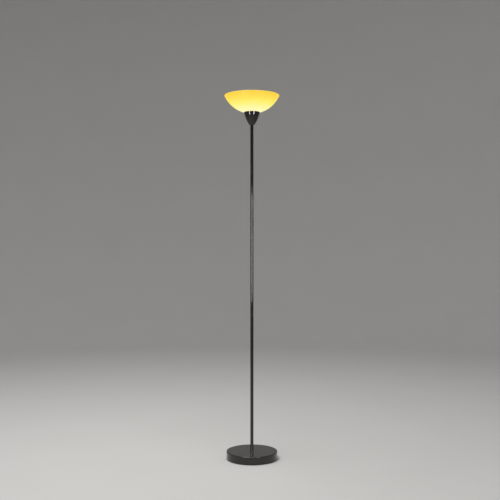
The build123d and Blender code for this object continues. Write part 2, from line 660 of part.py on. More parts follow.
# Screw cap: rings of the thread's section, then a plain collar that is wider inside
THREAD_MIDDLE = (CAP_CREST + CAP_ROOT) / 2
THREAD_BOTTOM = CAP_BOTTOM + 1.0
COLLAR_RADIUS = CAP_CREST - 0.1
COLLAR_BORE = CAP_CREST - 0.5
thread_ends = [
    (THREAD_MIDDLE, THREAD_BOTTOM + half_turn * CAP_PITCH / 2) for half_turn in range(2 * CAP_TURNS + 1)
]
with BuildPart() as bulb_cap:
    with BuildSketch(Plane.XZ):
        with BuildLine():
            for half_turn, (low, high) in enumerate(zip(thread_ends, thread_ends[1:])):
                bulge = (CAP_CREST - CAP_ROOT) / 2 * (1 if half_turn % 2 else -1)
                SagittaArc(low, high, -bulge)
            Polyline(
                thread_ends[-1],
                (COLLAR_RADIUS, COLLAR_BOTTOM),
                (COLLAR_RADIUS, CAP_TOP),
                (COLLAR_BORE, CAP_TOP),
                (COLLAR_BORE, COLLAR_BOTTOM),
                (CAP_BORE, COLLAR_BOTTOM - 1.0),
                (CAP_BORE, CAP_BOTTOM),
                (CAP_ROOT - 0.2, CAP_BOTTOM),
                thread_ends[0],
            )
        make_face()
    revolve(axis=Axis.Z)
bulb_cap.part.label = "bulb_cap"
export_step(bulb_cap.part, "parts/bulb_cap.step")

# Plastic body: a neck inside the cap's collar, then a flare that runs smoothly into the dome
NECK_RADIUS = CAP_CREST - 0.55
NECK_WALL = 1.0
FLARE_RISE = (8.0, 21.0)  # above the cap, with the flare's radius at each
FLARE_RADIUS = (15.2, 21.4)
DOME_SLOPE = (DOME_CENTRE - DOME_BOTTOM, DOME_MOUTH)
body_outside = [
    (CAP_CREST + 0.4, CAP_TOP),
    (FLARE_RADIUS[0], CAP_TOP + FLARE_RISE[0]),
    (FLARE_RADIUS[1], CAP_TOP + FLARE_RISE[1]),
    (DOME_MOUTH, DOME_BOTTOM),
]
body_inside = [(radius - BODY_WALL, height) for radius, height in body_outside]
with BuildPart() as bulb_body:
    with BuildSketch(Plane.XZ):
        with BuildLine():
            Line((NECK_RADIUS, COLLAR_BOTTOM), (NECK_RADIUS, CAP_TOP))
            Line((NECK_RADIUS, CAP_TOP), body_outside[0])
            Spline(body_outside, tangents=[(0, 1), DOME_SLOPE])
            Line(body_outside[-1], body_inside[-1])
            Spline(body_inside[::-1], tangents=[(-DOME_SLOPE[0], -DOME_SLOPE[1]), (0, -1)])
            Polyline(
                body_inside[0],
                (NECK_RADIUS - NECK_WALL, CAP_TOP - NECK_WALL),
                (NECK_RADIUS - NECK_WALL, COLLAR_BOTTOM),
                (NECK_RADIUS, COLLAR_BOTTOM),
            )
        make_face()
    revolve(axis=Axis.Z)
bulb_body.part.label = "bulb_body"
export_step(bulb_body.part, "parts/bulb_body.step")

# Opal dome
DOME_TOP = DOME_CENTRE + DOME_RADIUS
INNER_DOME = DOME_RADIUS - DOME_WALL
INNER_MOUTH = sqrt(INNER_DOME**2 - (DOME_CENTRE - DOME_BOTTOM) ** 2)
with BuildPart() as bulb_dome:
    with BuildSketch(Plane.XZ):
        with BuildLine():
            ThreePointArc((DOME_MOUTH, DOME_BOTTOM), (DOME_RADIUS, DOME_CENTRE), (0, DOME_TOP))
            Line((0, DOME_TOP), (0, DOME_TOP - DOME_WALL))
            ThreePointArc(
                (0, DOME_TOP - DOME_WALL), (INNER_DOME, DOME_CENTRE), (INNER_MOUTH, DOME_BOTTOM)
            )
            Line((INNER_MOUTH, DOME_BOTTOM), (DOME_MOUTH, DOME_BOTTOM))
        make_face()
    revolve(axis=Axis.Z)
bulb_dome.part.label = "bulb_dome"
export_step(bulb_dome.part, "parts/bulb_dome.step")

# Round board with the light-emitting chips, on a ledge just inside the body's mouth
LED_BOARD_TOP = DOME_BOTTOM - LED_BOARD_DROP
LED_BOARD_RADIUS = DOME_MOUTH - BODY_WALL - LED_BOARD_SLACK
with BuildPart() as led_board:
    with BuildSketch(Plane.XY.offset(LED_BOARD_TOP - LED_BOARD)):
        Circle(LED_BOARD_RADIUS)
    extrude(amount=LED_BOARD)
led_board.part.label = "led_board"
export_step(led_board.part, "parts/led_board.step")

with BuildPart() as led_chips:
    with BuildSketch(Plane.XY.offset(LED_BOARD_TOP)):
        with PolarLocations(CHIP_CIRCLE, CHIP_COUNT):
            Rectangle(CHIP_SIZE, CHIP_SIZE)
    extrude(amount=CHIP_HEIGHT)
led_chips.part.label = "led_chips"
export_step(led_chips.part, "parts/led_chips.step")

# Driver: an upright board in the neck, with its smoothing capacitor
DRIVER_BOTTOM = CAP_BOTTOM + 4.0
CAPACITOR_BOTTOM = CAP_TOP + 2.0
with BuildPart() as driver_board:
    with BuildSketch(Plane.XY.offset(DRIVER_BOTTOM)):
        Rectangle(DRIVER_WIDTH, DRIVER_BOARD)
    extrude(amount=LED_BOARD_TOP - LED_BOARD - DRIVER_BOTTOM)
driver_board.part.label = "driver_board"
export_step(driver_board.part, "parts/driver_board.step")

with BuildPart() as driver_capacitor:
    with BuildSketch(Plane.XY.offset(CAPACITOR_BOTTOM)):
        with Locations((0, DRIVER_BOARD / 2 + CAPACITOR_RADIUS)):
            Circle(CAPACITOR_RADIUS)
    extrude(amount=3 * CAPACITOR_RADIUS)
    fillet(driver_capacitor.edges().group_by(Axis.Z)[-1], radius=CAPACITOR_EDGE)
driver_capacitor.part.label = "driver_capacitor"
export_step(driver_capacitor.part, "parts/driver_capacitor.step")
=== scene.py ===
# %% [markdown]
# # A torchiere floor lamp
#
# A torchiere throws its light at the ceiling. This one has a round weighted base, a straight pole in three
# tubes, a small spun cup that hides the lampholder, and a bowl of opal glass that glows because the bulb
# inside it is lit. The engineering model comes first, as a frame that is only read: it says how large every
# part is, where it stands and what can be lifted off. Each step below then makes one piece of the lamp
# around that frame, at its real size, with the operators that a person would use by hand. The finishes
# follow, and last the floor, lights and camera.

import json
from contextlib import contextmanager
from math import acos, asin, atan2, ceil, cos, degrees, hypot, pi, radians, sin, sqrt

import bmesh
import bpy
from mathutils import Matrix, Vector


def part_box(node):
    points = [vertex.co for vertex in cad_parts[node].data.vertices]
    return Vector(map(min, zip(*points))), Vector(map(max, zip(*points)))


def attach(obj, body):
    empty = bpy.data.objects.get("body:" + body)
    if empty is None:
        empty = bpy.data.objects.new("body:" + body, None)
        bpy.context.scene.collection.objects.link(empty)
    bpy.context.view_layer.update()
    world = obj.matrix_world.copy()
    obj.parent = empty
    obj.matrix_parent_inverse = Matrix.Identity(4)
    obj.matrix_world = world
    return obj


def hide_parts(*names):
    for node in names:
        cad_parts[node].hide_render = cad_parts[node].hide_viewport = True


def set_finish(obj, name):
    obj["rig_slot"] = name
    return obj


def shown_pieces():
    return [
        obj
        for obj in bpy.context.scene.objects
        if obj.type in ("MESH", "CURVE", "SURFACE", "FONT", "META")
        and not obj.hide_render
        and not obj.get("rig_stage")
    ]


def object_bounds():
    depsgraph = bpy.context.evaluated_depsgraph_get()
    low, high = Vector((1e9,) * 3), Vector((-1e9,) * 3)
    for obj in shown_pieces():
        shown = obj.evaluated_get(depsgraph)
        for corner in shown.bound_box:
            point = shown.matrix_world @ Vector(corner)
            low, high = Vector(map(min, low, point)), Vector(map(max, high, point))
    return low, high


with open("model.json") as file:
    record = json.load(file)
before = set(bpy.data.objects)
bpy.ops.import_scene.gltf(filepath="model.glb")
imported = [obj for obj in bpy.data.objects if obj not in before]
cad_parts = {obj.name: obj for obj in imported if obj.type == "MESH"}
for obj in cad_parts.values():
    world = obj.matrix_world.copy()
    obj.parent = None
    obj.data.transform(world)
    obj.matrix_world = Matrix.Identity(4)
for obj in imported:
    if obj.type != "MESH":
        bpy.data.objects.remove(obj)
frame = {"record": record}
cad_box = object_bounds()
print("the lamp is", round(cad_box[1].z - cad_box[0].z, 3), "m tall")

# %% [markdown]
# ## Reading sizes
#
# Nearly every part of the lamp is round and stands on one upright axis, so three numbers place it: its
# outer radius and the heights of its ends. Typing these numbers again here would let the two models drift
# apart. Instead each piece asks the frame for them, and only the sizes that the frame doesn't hold, such as
# a thread's depth, are named below.

# %% Sizes of a round part
MM = 0.001
NEAR = 0.02 * MM  # two places closer than this are the same place
WELD = 0.002 * MM  # points closer than this become one point


def span(node):
    """Outer radius, lowest and highest point of a round part that stands on the lamp's axis."""
    low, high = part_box(node)
    return high.x, low.z, high.z


for node in ("base_cover", "cup", "shade_bowl", "bulb_dome"):
    radius, low, high = span(node)
    print(f"{node}: radius {radius / MM:.1f} mm, from {low / MM:.1f} to {high / MM:.1f} mm")

# %% [markdown]
# ## A few hands
#
# An operator acts on whatever is selected, so a script has to say what that is each time, where a person
# just sees it. Four small helpers do this: one leaves a single object selected, one goes in and out of edit
# mode, one selects corners, edges or faces by where they are, and one adds a modifier and applies it at
# once. Selecting by place is better than by number, because numbers change with every cut.

# %% Select one object, and edit it
def alone(piece):
    """Leaves this object as the only one selected, and makes it the active one."""
    bpy.ops.object.select_all(action="DESELECT")
    piece.select_set(True)
    bpy.context.view_layer.objects.active = piece


@contextmanager
def editing(piece):
    """Edit mode with nothing selected, and back to object mode afterwards."""
    alone(piece)
    bpy.ops.object.mode_set(mode="EDIT")
    bpy.ops.mesh.select_mode(type="VERT")
    bpy.ops.mesh.select_all(action="DESELECT")
    yield
    bpy.ops.object.mode_set(mode="OBJECT")


# %% Select by place
def pick(kind, test):
    """Selects only the VERT, EDGE or FACE elements whose corners all pass the test."""
    bpy.ops.mesh.select_mode(type=kind)
    bpy.ops.mesh.select_all(action="DESELECT")
    mesh = bpy.context.edit_object.data
    shape = bmesh.from_edit_mesh(mesh)
    elements = {"VERT": shape.verts, "EDGE": shape.edges, "FACE": shape.faces}[kind]
    for element in elements:
        corners = [element] if kind == "VERT" else element.verts
        if all(test(corner.co) for corner in corners):
            element.select_set(True)
    bmesh.update_edit_mesh(mesh)


def at_height(height):
    """A test for pick: the corner lies at this height."""
    return lambda corner: abs(corner.z - height) < NEAR


def on_ring(radius, height):
    """A test for pick: the corner lies at this height, this far from the lamp's axis."""
    return lambda corner: abs(corner.z - height) < NEAR and abs(hypot(corner.x, corner.y) - radius) < NEAR


def widen(factor, height):
    """Scales what is selected about the lamp's axis."""
    bpy.ops.transform.resize(value=(factor, factor, 1), center_override=(0, 0, height))


# %% Add a modifier and apply it
def applied(piece, kind, **settings):
    """Adds a modifier with these settings and applies it at once."""
    alone(piece)
    modifier = piece.modifiers.new(kind.title(), kind)
    for setting, value in settings.items():
        setattr(modifier, setting, value)
    bpy.ops.object.modifier_apply(modifier=modifier.name)


def soften(piece, width, segments=2):
    """Rounds every edge that is sharper than 35 degrees."""
    limit = {"limit_method": "ANGLE", "angle_limit": radians(35), "use_clamp_overlap": True}
    applied(piece, "BEVEL", width=width, segments=segments, **limit)


def cut_away(piece, cutter):
    """Takes the cutter's shape out of the piece, and removes the cutter."""
    applied(piece, "BOOLEAN", object=cutter, operation="DIFFERENCE", solver="EXACT")
    bpy.data.objects.remove(cutter)


# %% [markdown]
# ## Starting and handing over a piece
#
# A piece starts as a primitive or as a drawn outline, and it is finished when it shades smoothly, rides on
# the body that it moves with, says its finish, and hides the part of the frame that it stands for. Its place
# is kept in its mesh and not in its object, as in the frame, so a pattern that follows object coordinates
# doesn't slide. These steps are the same for all pieces, so they are written once.

# %% Start from a cylinder
def named(name):
    """Names the new object, and moves its place and size into its mesh."""
    piece = bpy.context.active_object
    piece.name = piece.data.name = name
    alone(piece)
    bpy.ops.object.transform_apply(location=True, rotation=True, scale=True)
    return piece


def set_down(piece, place, turn=(0, 0, 0)):
    """Moves a piece that was made on the lamp's axis to its own place, again inside its mesh."""
    piece.location = place
    piece.rotation_euler = turn
    alone(piece)
    bpy.ops.object.transform_apply(location=True, rotation=True, scale=True)
    return piece


def drum(name, radius, low, high, sides, ends="NGON"):
    """An upright cylinder on the lamp's axis, the start of many round pieces."""
    bpy.ops.mesh.primitive_cylinder_add(
        vertices=sides, radius=radius, depth=high - low, location=(0, 0, (low + high) / 2), end_fill_type=ends
    )
    return named(name)


# %% Start from an outline
def drawn(name, outline, closed=True):
    """Draws an outline of (distance from the axis, height) points, each one extruded from the one before."""
    bpy.ops.mesh.primitive_plane_add(size=MM, location=(outline[0][0], 0, outline[0][1]))
    piece = named(name)
    stops = outline + outline[:1] if closed else outline
    with editing(piece):
        bpy.ops.mesh.select_all(action="SELECT")
        bpy.ops.mesh.merge(type="CENTER")
        for (reach, height), (next_reach, next_height) in zip(stops, stops[1:]):
            step = (next_reach - reach, 0, next_height - height)
            bpy.ops.mesh.extrude_region_move(TRANSFORM_OT_translate={"value": step})
        bpy.ops.mesh.select_all(action="SELECT")
        bpy.ops.mesh.remove_doubles(threshold=WELD)
    return piece


def face_out():
    """In edit mode, turns all faces outwards. An open skin has no inside, so its faces take a vote."""
    bpy.ops.mesh.select_all(action="SELECT")
    bpy.ops.mesh.normals_make_consistent(inside=False)
    faces = bmesh.from_edit_mesh(bpy.context.edit_object.data).faces
    middles = [(face, face.calc_center_median()) for face in faces]
    if sum(face.calc_area() * (face.normal.x * at.x + face.normal.y * at.y) for face, at in middles) < 0:
        bpy.ops.mesh.flip_normals()


def spun(piece, steps):
    """Spins a drawn outline one full turn about the lamp's axis, as on a lathe, and closes the seam."""
    with editing(piece):
        bpy.ops.mesh.select_all(action="SELECT")
        bpy.ops.mesh.spin(steps=steps, angle=2 * pi, center=(0, 0, 0), axis=(0, 0, 1))
        bpy.ops.mesh.select_all(action="SELECT")
        bpy.ops.mesh.remove_doubles(threshold=WELD)
        face_out()
    return piece


def arc(centre, radius, start, end, steps):
    """Points of a round stretch of an outline. Angles are in degrees, from outwards towards up."""
    turns = [radians(start + (end - start) * step / steps) for step in range(steps + 1)]
    return [(centre[0] + radius * cos(turn), centre[1] + radius * sin(turn)) for turn in turns]


# %% Hand a piece over
SMOOTH_BELOW = radians(32)  # edges that turn less than this shade smoothly


def finished(piece, body, slot, *nodes):
    """Shades the piece, lets it ride on its body, says its finish, and hides the parts that it replaces."""
    alone(piece)
    bpy.ops.object.shade_smooth_by_angle(angle=SMOOTH_BELOW)
    applied(piece, "WEIGHTED_NORMAL", keep_sharp=True)
    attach(piece, body)
    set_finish(piece, slot)
    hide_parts(*nodes)
    print(f"{piece.name}: {len(piece.data.polygons)} faces, rides on {body}")


# %% [markdown]
# ## Base drum
#
# The base is a drum pressed from one sheet of steel: a flat top, a small even radius, a straight wall, and
# a hem that is turned in below to hold the bottom plate. It could be lathed from an outline, but a press
# makes it from a disc, and edit mode can follow the press: take a cylinder, bevel its top edge, open the
# bottom, turn the hem in, and give the skin the thickness of the sheet. The hole for the mains cord is
# punched through the finished wall.

# %% Press the base drum
SHEET = 1.0 * MM
DRUM_EDGE = 3.0 * MM
HEM = 6.0 * MM
HEM_CORNER = 1.2 * MM
POLE_HOLE = 5.3 * MM
drum_radius, drum_low, drum_top = span("base_cover")
base_drum = drum("base_drum", drum_radius, drum_low, drum_top, sides=192)
with editing(base_drum):
    pick("EDGE", at_height(drum_top))
    bpy.ops.mesh.bevel(offset=DRUM_EDGE, segments=8, affect="EDGES")
    pick("FACE", at_height(drum_top))
    bpy.ops.mesh.inset(thickness=drum_radius - DRUM_EDGE - POLE_HOLE)
    bpy.ops.mesh.delete(type="FACE")
    pick("FACE", at_height(drum_low))
    bpy.ops.mesh.delete(type="ONLY_FACE")
    pick("EDGE", at_height(drum_low))
    bpy.ops.mesh.extrude_region_move(TRANSFORM_OT_translate={"value": (0, 0, 0)})
    widen((drum_radius - HEM) / drum_radius, drum_low)
    pick("EDGE", on_ring(drum_radius, drum_low))
    bpy.ops.mesh.bevel(offset=HEM_CORNER, segments=4, affect="EDGES")
    face_out()
applied(base_drum, "SOLIDIFY", thickness=SHEET, offset=-1, use_even_offset=True)
soften(base_drum, 0.2 * MM)

# %% Punch the cord hole and hand the drum over
grommet_low, grommet_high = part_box("cord_grommet")
cord_height = (grommet_low.z + grommet_high.z) / 2
CORD_HOLE = 4.95 * MM
cord_punch = drum("cord_punch", CORD_HOLE, -2 * HEM, 2 * HEM, sides=48)
set_down(cord_punch, (0, drum_radius, cord_height), turn=(pi / 2, 0, 0))
cut_away(base_drum, cord_punch)
finished(base_drum, "stand", "black_lacquer", "base_cover")

# %% [markdown]
# ## Bottom plate
#
# A zinc-plated disc closes the underside, stiffened by a ring that is pressed up into it. Seen from below,
# the ring is a shallow groove with soft shoulders. Two insets in the bottom face mark the groove and one
# extrude presses it. The same groove could be drawn by a bump texture, but it would vanish in a side light.

# %% Press the bottom plate
GROOVE = 0.5 * MM
GROOVE_OUTER = 78.0 * MM
GROOVE_INNER = 74.0 * MM
plate_radius, plate_low, plate_top = span("base_plate")


def in_groove(corner):
    """A test for pick: the corner lies on the plate's underside, between the groove's two circles."""
    reach = hypot(corner.x, corner.y)
    return at_height(plate_low)(corner) and GROOVE_INNER * 0.99 < reach < GROOVE_OUTER * 1.002


bottom_plate = drum("bottom_plate", plate_radius, plate_low, plate_top, sides=128)
with editing(bottom_plate):
    pick("FACE", at_height(plate_low))
    bpy.ops.mesh.inset(thickness=plate_radius - GROOVE_OUTER)
    bpy.ops.mesh.inset(thickness=GROOVE_OUTER - GROOVE_INNER)
    pick("FACE", in_groove)
    bpy.ops.mesh.extrude_region_move(TRANSFORM_OT_translate={"value": (0, 0, GROOVE)})
soften(bottom_plate, 0.35 * MM, segments=3)
finished(bottom_plate, "stand", "zinc_steel", "base_plate")

# %% [markdown]
# ## Rubber feet
#
# Four moulded feet keep the steel off the floor. Each has a rounded lower edge and a shallow dish in its
# sole, which works as a sucker and keeps the foot flat as it shrinks in the mould. One foot is modelled
# from a cylinder by bevel, inset and extrude, and copied with a mesh of its own to the other three corners.

# %% Mould four feet
FOOT_EDGE = 0.6 * MM
FOOT_RIM = 3.0 * MM
FOOT_DISH = 0.7 * MM
FOOT_RADIUS = 10.0 * MM
feet_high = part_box("rubber_feet")[1]
foot_place = (feet_high.x - FOOT_RADIUS, feet_high.y - FOOT_RADIUS)
foot_height = feet_high.z


def moulded_foot(name, place):
    """One foot, modelled on the lamp's axis and then moved to its place."""
    foot = drum(name, FOOT_RADIUS, 0, foot_height, sides=64)
    with editing(foot):
        pick("FACE", at_height(0))
        bpy.ops.mesh.inset(thickness=FOOT_RIM)
        bpy.ops.mesh.inset(thickness=FOOT_DISH)
        bpy.ops.transform.translate(value=(0, 0, FOOT_DISH))
        pick("EDGE", on_ring(FOOT_RADIUS, 0))
        bpy.ops.mesh.bevel(offset=FOOT_EDGE, segments=5, affect="EDGES")
    soften(foot, 0.15 * MM)
    return set_down(foot, (*place, 0))


for number, (side, depth) in enumerate(((1, 1), (-1, 1), (-1, -1), (1, -1)), start=1):
    foot = moulded_foot(f"rubber_foot_{number}", (side * foot_place[0], depth * foot_place[1]))
    finished(foot, "stand", "black_rubber", "rubber_feet")

# %% [markdown]
# ## Cord bush
#
# Where the mains cord enters at the back, a bush keeps it off the raw edge of the steel: a rounded flange
# outside, a neck in the hole and a tapering barb inside. It is a turned shape, so its half outline is drawn
# once and spun. It is spun about the upright axis like everything else, then tipped back by a quarter turn
# and moved to the hole.

# %% Turn the cord bush
BUSH_BORE = 3.1 * MM
BUSH_FLANGE = 6.5 * MM
BUSH_LIP = 2.0 * MM
BUSH_BARB = 5.95 * MM
BUSH_NECK = 4.9 * MM
BUSH_NOSE = 4.75 * MM
BUSH_EDGE = 1.0 * MM
BUSH_MOUTH = 0.8 * MM
BARB_EDGE = 0.2 * MM
bush_length = grommet_high.y - grommet_low.y
barb_start = bush_length - BUSH_LIP - 1.4 * SHEET
bush_outline = [
    (BUSH_BORE, 0),
    (BUSH_NOSE, 0),
    (BUSH_BARB, barb_start - BARB_EDGE),
    (BUSH_BARB, barb_start),
    (BUSH_NECK, barb_start),
    (BUSH_NECK, bush_length - BUSH_LIP),
    (BUSH_FLANGE, bush_length - BUSH_LIP),
    *arc((BUSH_FLANGE - BUSH_EDGE, bush_length - BUSH_EDGE), BUSH_EDGE, 0, 90, 5),
    (BUSH_BORE + BUSH_MOUTH, bush_length),
    *arc((BUSH_BORE + BUSH_MOUTH, bush_length - BUSH_MOUTH), BUSH_MOUTH, 100, 180, 4),
]
cord_bush = spun(drawn("cord_bush", bush_outline), steps=64)
set_down(cord_bush, (0, grommet_low.y, cord_height), turn=(-pi / 2, 0, 0))
finished(cord_bush, "stand", "black_plastic", "cord_grommet")

# %% [markdown]
# ## Pole
#
# The pole is three equal lengths of steel tube, screwed together end to end. Only a hairline shows at each
# joint, and it shows because both ends have a slight round. Each tube is a cylinder without ends. Solidify
# gives it the wall of a real tube and a narrow bevel rounds the ends.

# %% Cut three tubes
TUBE_WALL = 1.0 * MM
TUBE_END = 0.22 * MM
for name in ("lower", "middle", "upper"):
    tube_radius, tube_low, tube_high = span(f"pole_tube_{name}")
    tube = drum(f"pole_{name}", tube_radius, tube_low, tube_high, sides=72, ends="NOTHING")
    applied(tube, "SOLIDIFY", thickness=TUBE_WALL, offset=-1, use_even_offset=True)
    soften(tube, TUBE_END, segments=3)
    finished(tube, "stand", "black_lacquer", f"pole_tube_{name}")

# %% [markdown]
# ## Cup
#
# The cup is spun: a disc of steel is pressed over a turning form until it has a flat bottom, a tight turn
# and one long curve that opens to the rim. Its outer line is drawn as two arcs that meet without a corner,
# spun once, and thickened inwards. The long arc has to start in the direction in which the tight turn ends
# and pass through the rim, and one equation gives its radius.

# %% Spin the cup
CUP_FLAT = 9.5 * MM
CUP_TURN = 5.0 * MM
CUP_RISE = 55.0
CUP_RIM = 0.3 * MM
cup_radius, cup_low, cup_top = span("cup")
tight_turn = arc((CUP_FLAT, cup_low + CUP_TURN), CUP_TURN, -90, CUP_RISE - 90, 8)
inward = (-sin(radians(CUP_RISE)), cos(radians(CUP_RISE)))
rise = (cup_radius - tight_turn[-1][0], cup_top - tight_turn[-1][1])
wall_radius = (rise[0] ** 2 + rise[1] ** 2) / (2 * (rise[0] * inward[0] + rise[1] * inward[1]))
wall_centre = (tight_turn[-1][0] + wall_radius * inward[0], tight_turn[-1][1] + wall_radius * inward[1])
rim_angle = degrees(atan2(cup_top - wall_centre[1], cup_radius - wall_centre[0]))
long_curve = arc(wall_centre, wall_radius, CUP_RISE - 90, rim_angle, 24)
cup_line = [(POLE_HOLE, cup_low), *tight_turn, *long_curve[1:]]
spun_cup = spun(drawn("spun_cup", cup_line, closed=False), steps=144)
applied(spun_cup, "SOLIDIFY", thickness=SHEET, offset=-1, use_even_offset=True)
soften(spun_cup, CUP_RIM, segments=3)
finished(spun_cup, "stand", "black_lacquer", "cup")
print(f"the cup's long curve has a radius of {wall_radius / MM:.1f} mm")

# %% [markdown]
# ## Opal bowl
#
# The bowl is part of a ball of opal glass, three millimetres thick, with a flat ground in its bottom to sit
# on the lampholder and a hole for the bulb's socket. Its rim is melted round. A Blender sphere could be cut
# down to it, but its poles and rings wouldn't fall where the flat and the rim are. A closed outline of two
# arcs about one centre, joined by a small half circle at the rim, gives the glass an even wall and puts the
# rings where they count.

# %% Blow the bowl
GLASS = 3.0 * MM
BALL = 150.25 * MM
BOWL_FLAT = 31.0 * MM
BOWL_HOLE = 21.0 * MM
bowl_seat, bowl_top = span("shade_bowl")[1:]
ball_height = bowl_seat + sqrt(BALL**2 - BOWL_FLAT**2)
ball_centre = (0, ball_height)
lip_height = bowl_top - GLASS / 2
lip_angle = degrees(asin((lip_height - ball_height) / (BALL - GLASS / 2)))
lip_centre = ((BALL - GLASS / 2) * cos(radians(lip_angle)), lip_height)
outer_start = -degrees(acos(BOWL_FLAT / BALL))
inner_start = degrees(asin((bowl_seat + GLASS - ball_height) / (BALL - GLASS)))
bowl_line = [
    *arc(ball_centre, BALL, outer_start, lip_angle, 44),
    *arc(lip_centre, GLASS / 2, lip_angle, lip_angle + 180, 12)[1:-1],
    *arc(ball_centre, BALL - GLASS, lip_angle, inner_start, 44),
    (BOWL_HOLE, bowl_seat + GLASS),
    (BOWL_HOLE, bowl_seat),
]
opal_bowl = spun(drawn("opal_bowl", bowl_line), steps=192)
soften(opal_bowl, 0.4 * MM, segments=3)
finished(opal_bowl, "shade", "opal_glass", "shade_bowl")

# %% [markdown]
# ## Threads
#
# Screws hold this lamp together, and a helix can't be spun: it has to rise as it turns. One pitch of the
# thread is drawn, and the Screw modifier sweeps it up the axis, each turn starting where the one below
# ends, so that the turns weld into one skin. The ragged first and last turns are then cut off flat by
# bisect. Filled at both cuts, the skin is a solid screw, which works as a screw or, taken away from another
# piece, as its nut.

# %% Sweep a thread
SHARP_RIDGE = ((0, 0), (1, 0.5), (0, 1))
BLUNT_RIDGE = ((0, 0), (0, 0.2), (1, 0.45), (1, 0.75), (0, 1))
ROLLED_RIDGE = tuple(((1 - cos(2 * pi * share / 8)) / 2, share / 8) for share in range(9))


def threaded(name, low, high, root, crest, pitch, ridge=SHARP_RIDGE, sides=64, filled=True):
    """A screw on the lamp's axis. A ridge is one pitch of its line: shares of depth and of pitch."""
    start = low - pitch
    line = [(root + deep * (crest - root), start + along * pitch) for deep, along in ridge]
    screw = drawn(name, line, closed=False)
    turns = ceil((high - low) / pitch) + 2
    fineness = {"steps": sides, "render_steps": sides}
    applied(screw, "SCREW", angle=2 * pi, screw_offset=pitch, iterations=turns, **fineness)
    with editing(screw):
        bpy.ops.mesh.select_all(action="SELECT")
        bpy.ops.mesh.remove_doubles(threshold=WELD)
        for height, beyond in ((low, -1), (high, 1)):
            bpy.ops.mesh.select_all(action="SELECT")
            plane = {"plane_co": (0, 0, height), "plane_no": (0, 0, beyond), "threshold": WELD / 10}
            bpy.ops.mesh.bisect(clear_outer=True, use_fill=filled, **plane)
        bpy.ops.mesh.select_all(action="SELECT")
        bpy.ops.mesh.remove_doubles(threshold=2 * NEAR)
        face_out()
    return screw


def bored(piece, radius, low, high, sides=64):
    """Drills the piece along the lamp's axis."""
    cut_away(piece, drum("drill", radius, low - MM, high + MM, sides))
    return piece


# %% [markdown]
# ## Threaded rods
#
# Hollow rods with a fine thread hold base, tubes, cup and lampholder in line, and the lead runs through
# them. They are out of sight in the finished lamp, but they are what its strength comes from, so they get
# their real thread.

# %% Cut the threaded rods
ROD_RADIUS = 4.95 * MM
ROD_THREAD = 0.5 * MM
ROD_BORE = 4.0 * MM
ROD_PITCH = 1.0 * MM


def threaded_rod(name, low, high, node):
    """A length of hollow threaded rod."""
    rod = threaded(name, low, high, ROD_RADIUS - ROD_THREAD, ROD_RADIUS, ROD_PITCH, sides=36)
    bored(rod, ROD_BORE, low, high, sides=36)
    finished(rod, "stand", "zinc_steel", node)


threaded_rod("base_rod", *span("base_nipple")[1:], "base_nipple")
threaded_rod("top_rod", *span("top_nipple")[1:], "top_nipple")
joint_rod_half = span("pole_tube_lower")[2] - span("joint_nipples")[1]
for name, tube in (("lower", "pole_tube_lower"), ("upper", "pole_tube_middle")):
    joint = span(tube)[2]
    threaded_rod(f"joint_rod_{name}", joint - joint_rod_half, joint + joint_rod_half, "joint_nipples")

# %% [markdown]
# ## Nuts
#
# A hexagon nut starts as a six-sided cylinder. Its corners are turned off on a lathe, top and bottom, so
# what is left is the part that the hexagon shares with a chamfered disc: an intersect boolean says just
# that. A bevel on the hexagon's edges would cut its flats as well. The thread is a screw taken away from
# the middle.

# %% Make two nuts
NUT_ACROSS = 14.0 * MM
NUT_HEIGHT = 3.5 * MM
NUT_CHAMFER = (0.9 * MM, 0.5 * MM)
NUT_SLACK = 0.05 * MM
NUT_THREAD = 0.4 * MM


def hexagon_nut(name, low):
    """A flat nut for the threaded rod, with its underside at this height."""
    corner_radius = NUT_ACROSS / 2 / cos(pi / 6)
    nut = drum(name, corner_radius, low, low + NUT_HEIGHT, sides=6)
    back, down = NUT_CHAMFER
    disc_line = [
        (0, low),
        (corner_radius - back, low),
        (corner_radius + WELD, low + down),
        (corner_radius + WELD, low + NUT_HEIGHT - down),
        (corner_radius - back, low + NUT_HEIGHT),
        (0, low + NUT_HEIGHT),
    ]
    disc = spun(drawn("lathe_disc", disc_line, closed=False), steps=72)
    applied(nut, "BOOLEAN", object=disc, operation="INTERSECT", solver="EXACT")
    bpy.data.objects.remove(disc)
    hole = ROD_RADIUS + NUT_SLACK
    tap = threaded("tap", low - MM, low + NUT_HEIGHT + MM, hole, hole + NUT_THREAD, ROD_PITCH, sides=36)
    cut_away(nut, tap)
    finished(nut, "stand", "zinc_steel", "hex_nuts")


hexagon_nut("base_nut", span("hex_nuts")[1])
hexagon_nut("cup_nut", span("hex_nuts")[2] - NUT_HEIGHT)

# %% [markdown]
# ## Lampholder cap
#
# The lower half of the lampholder screws onto the top rod and widens over a cone into the barrel. Its
# shoulder has to be round, because moulded plastic would crack at a corner. A vertex bevel on the drawn
# outline rounds that one corner before the outline is spun, which is easier than finding the edge loop
# afterwards.

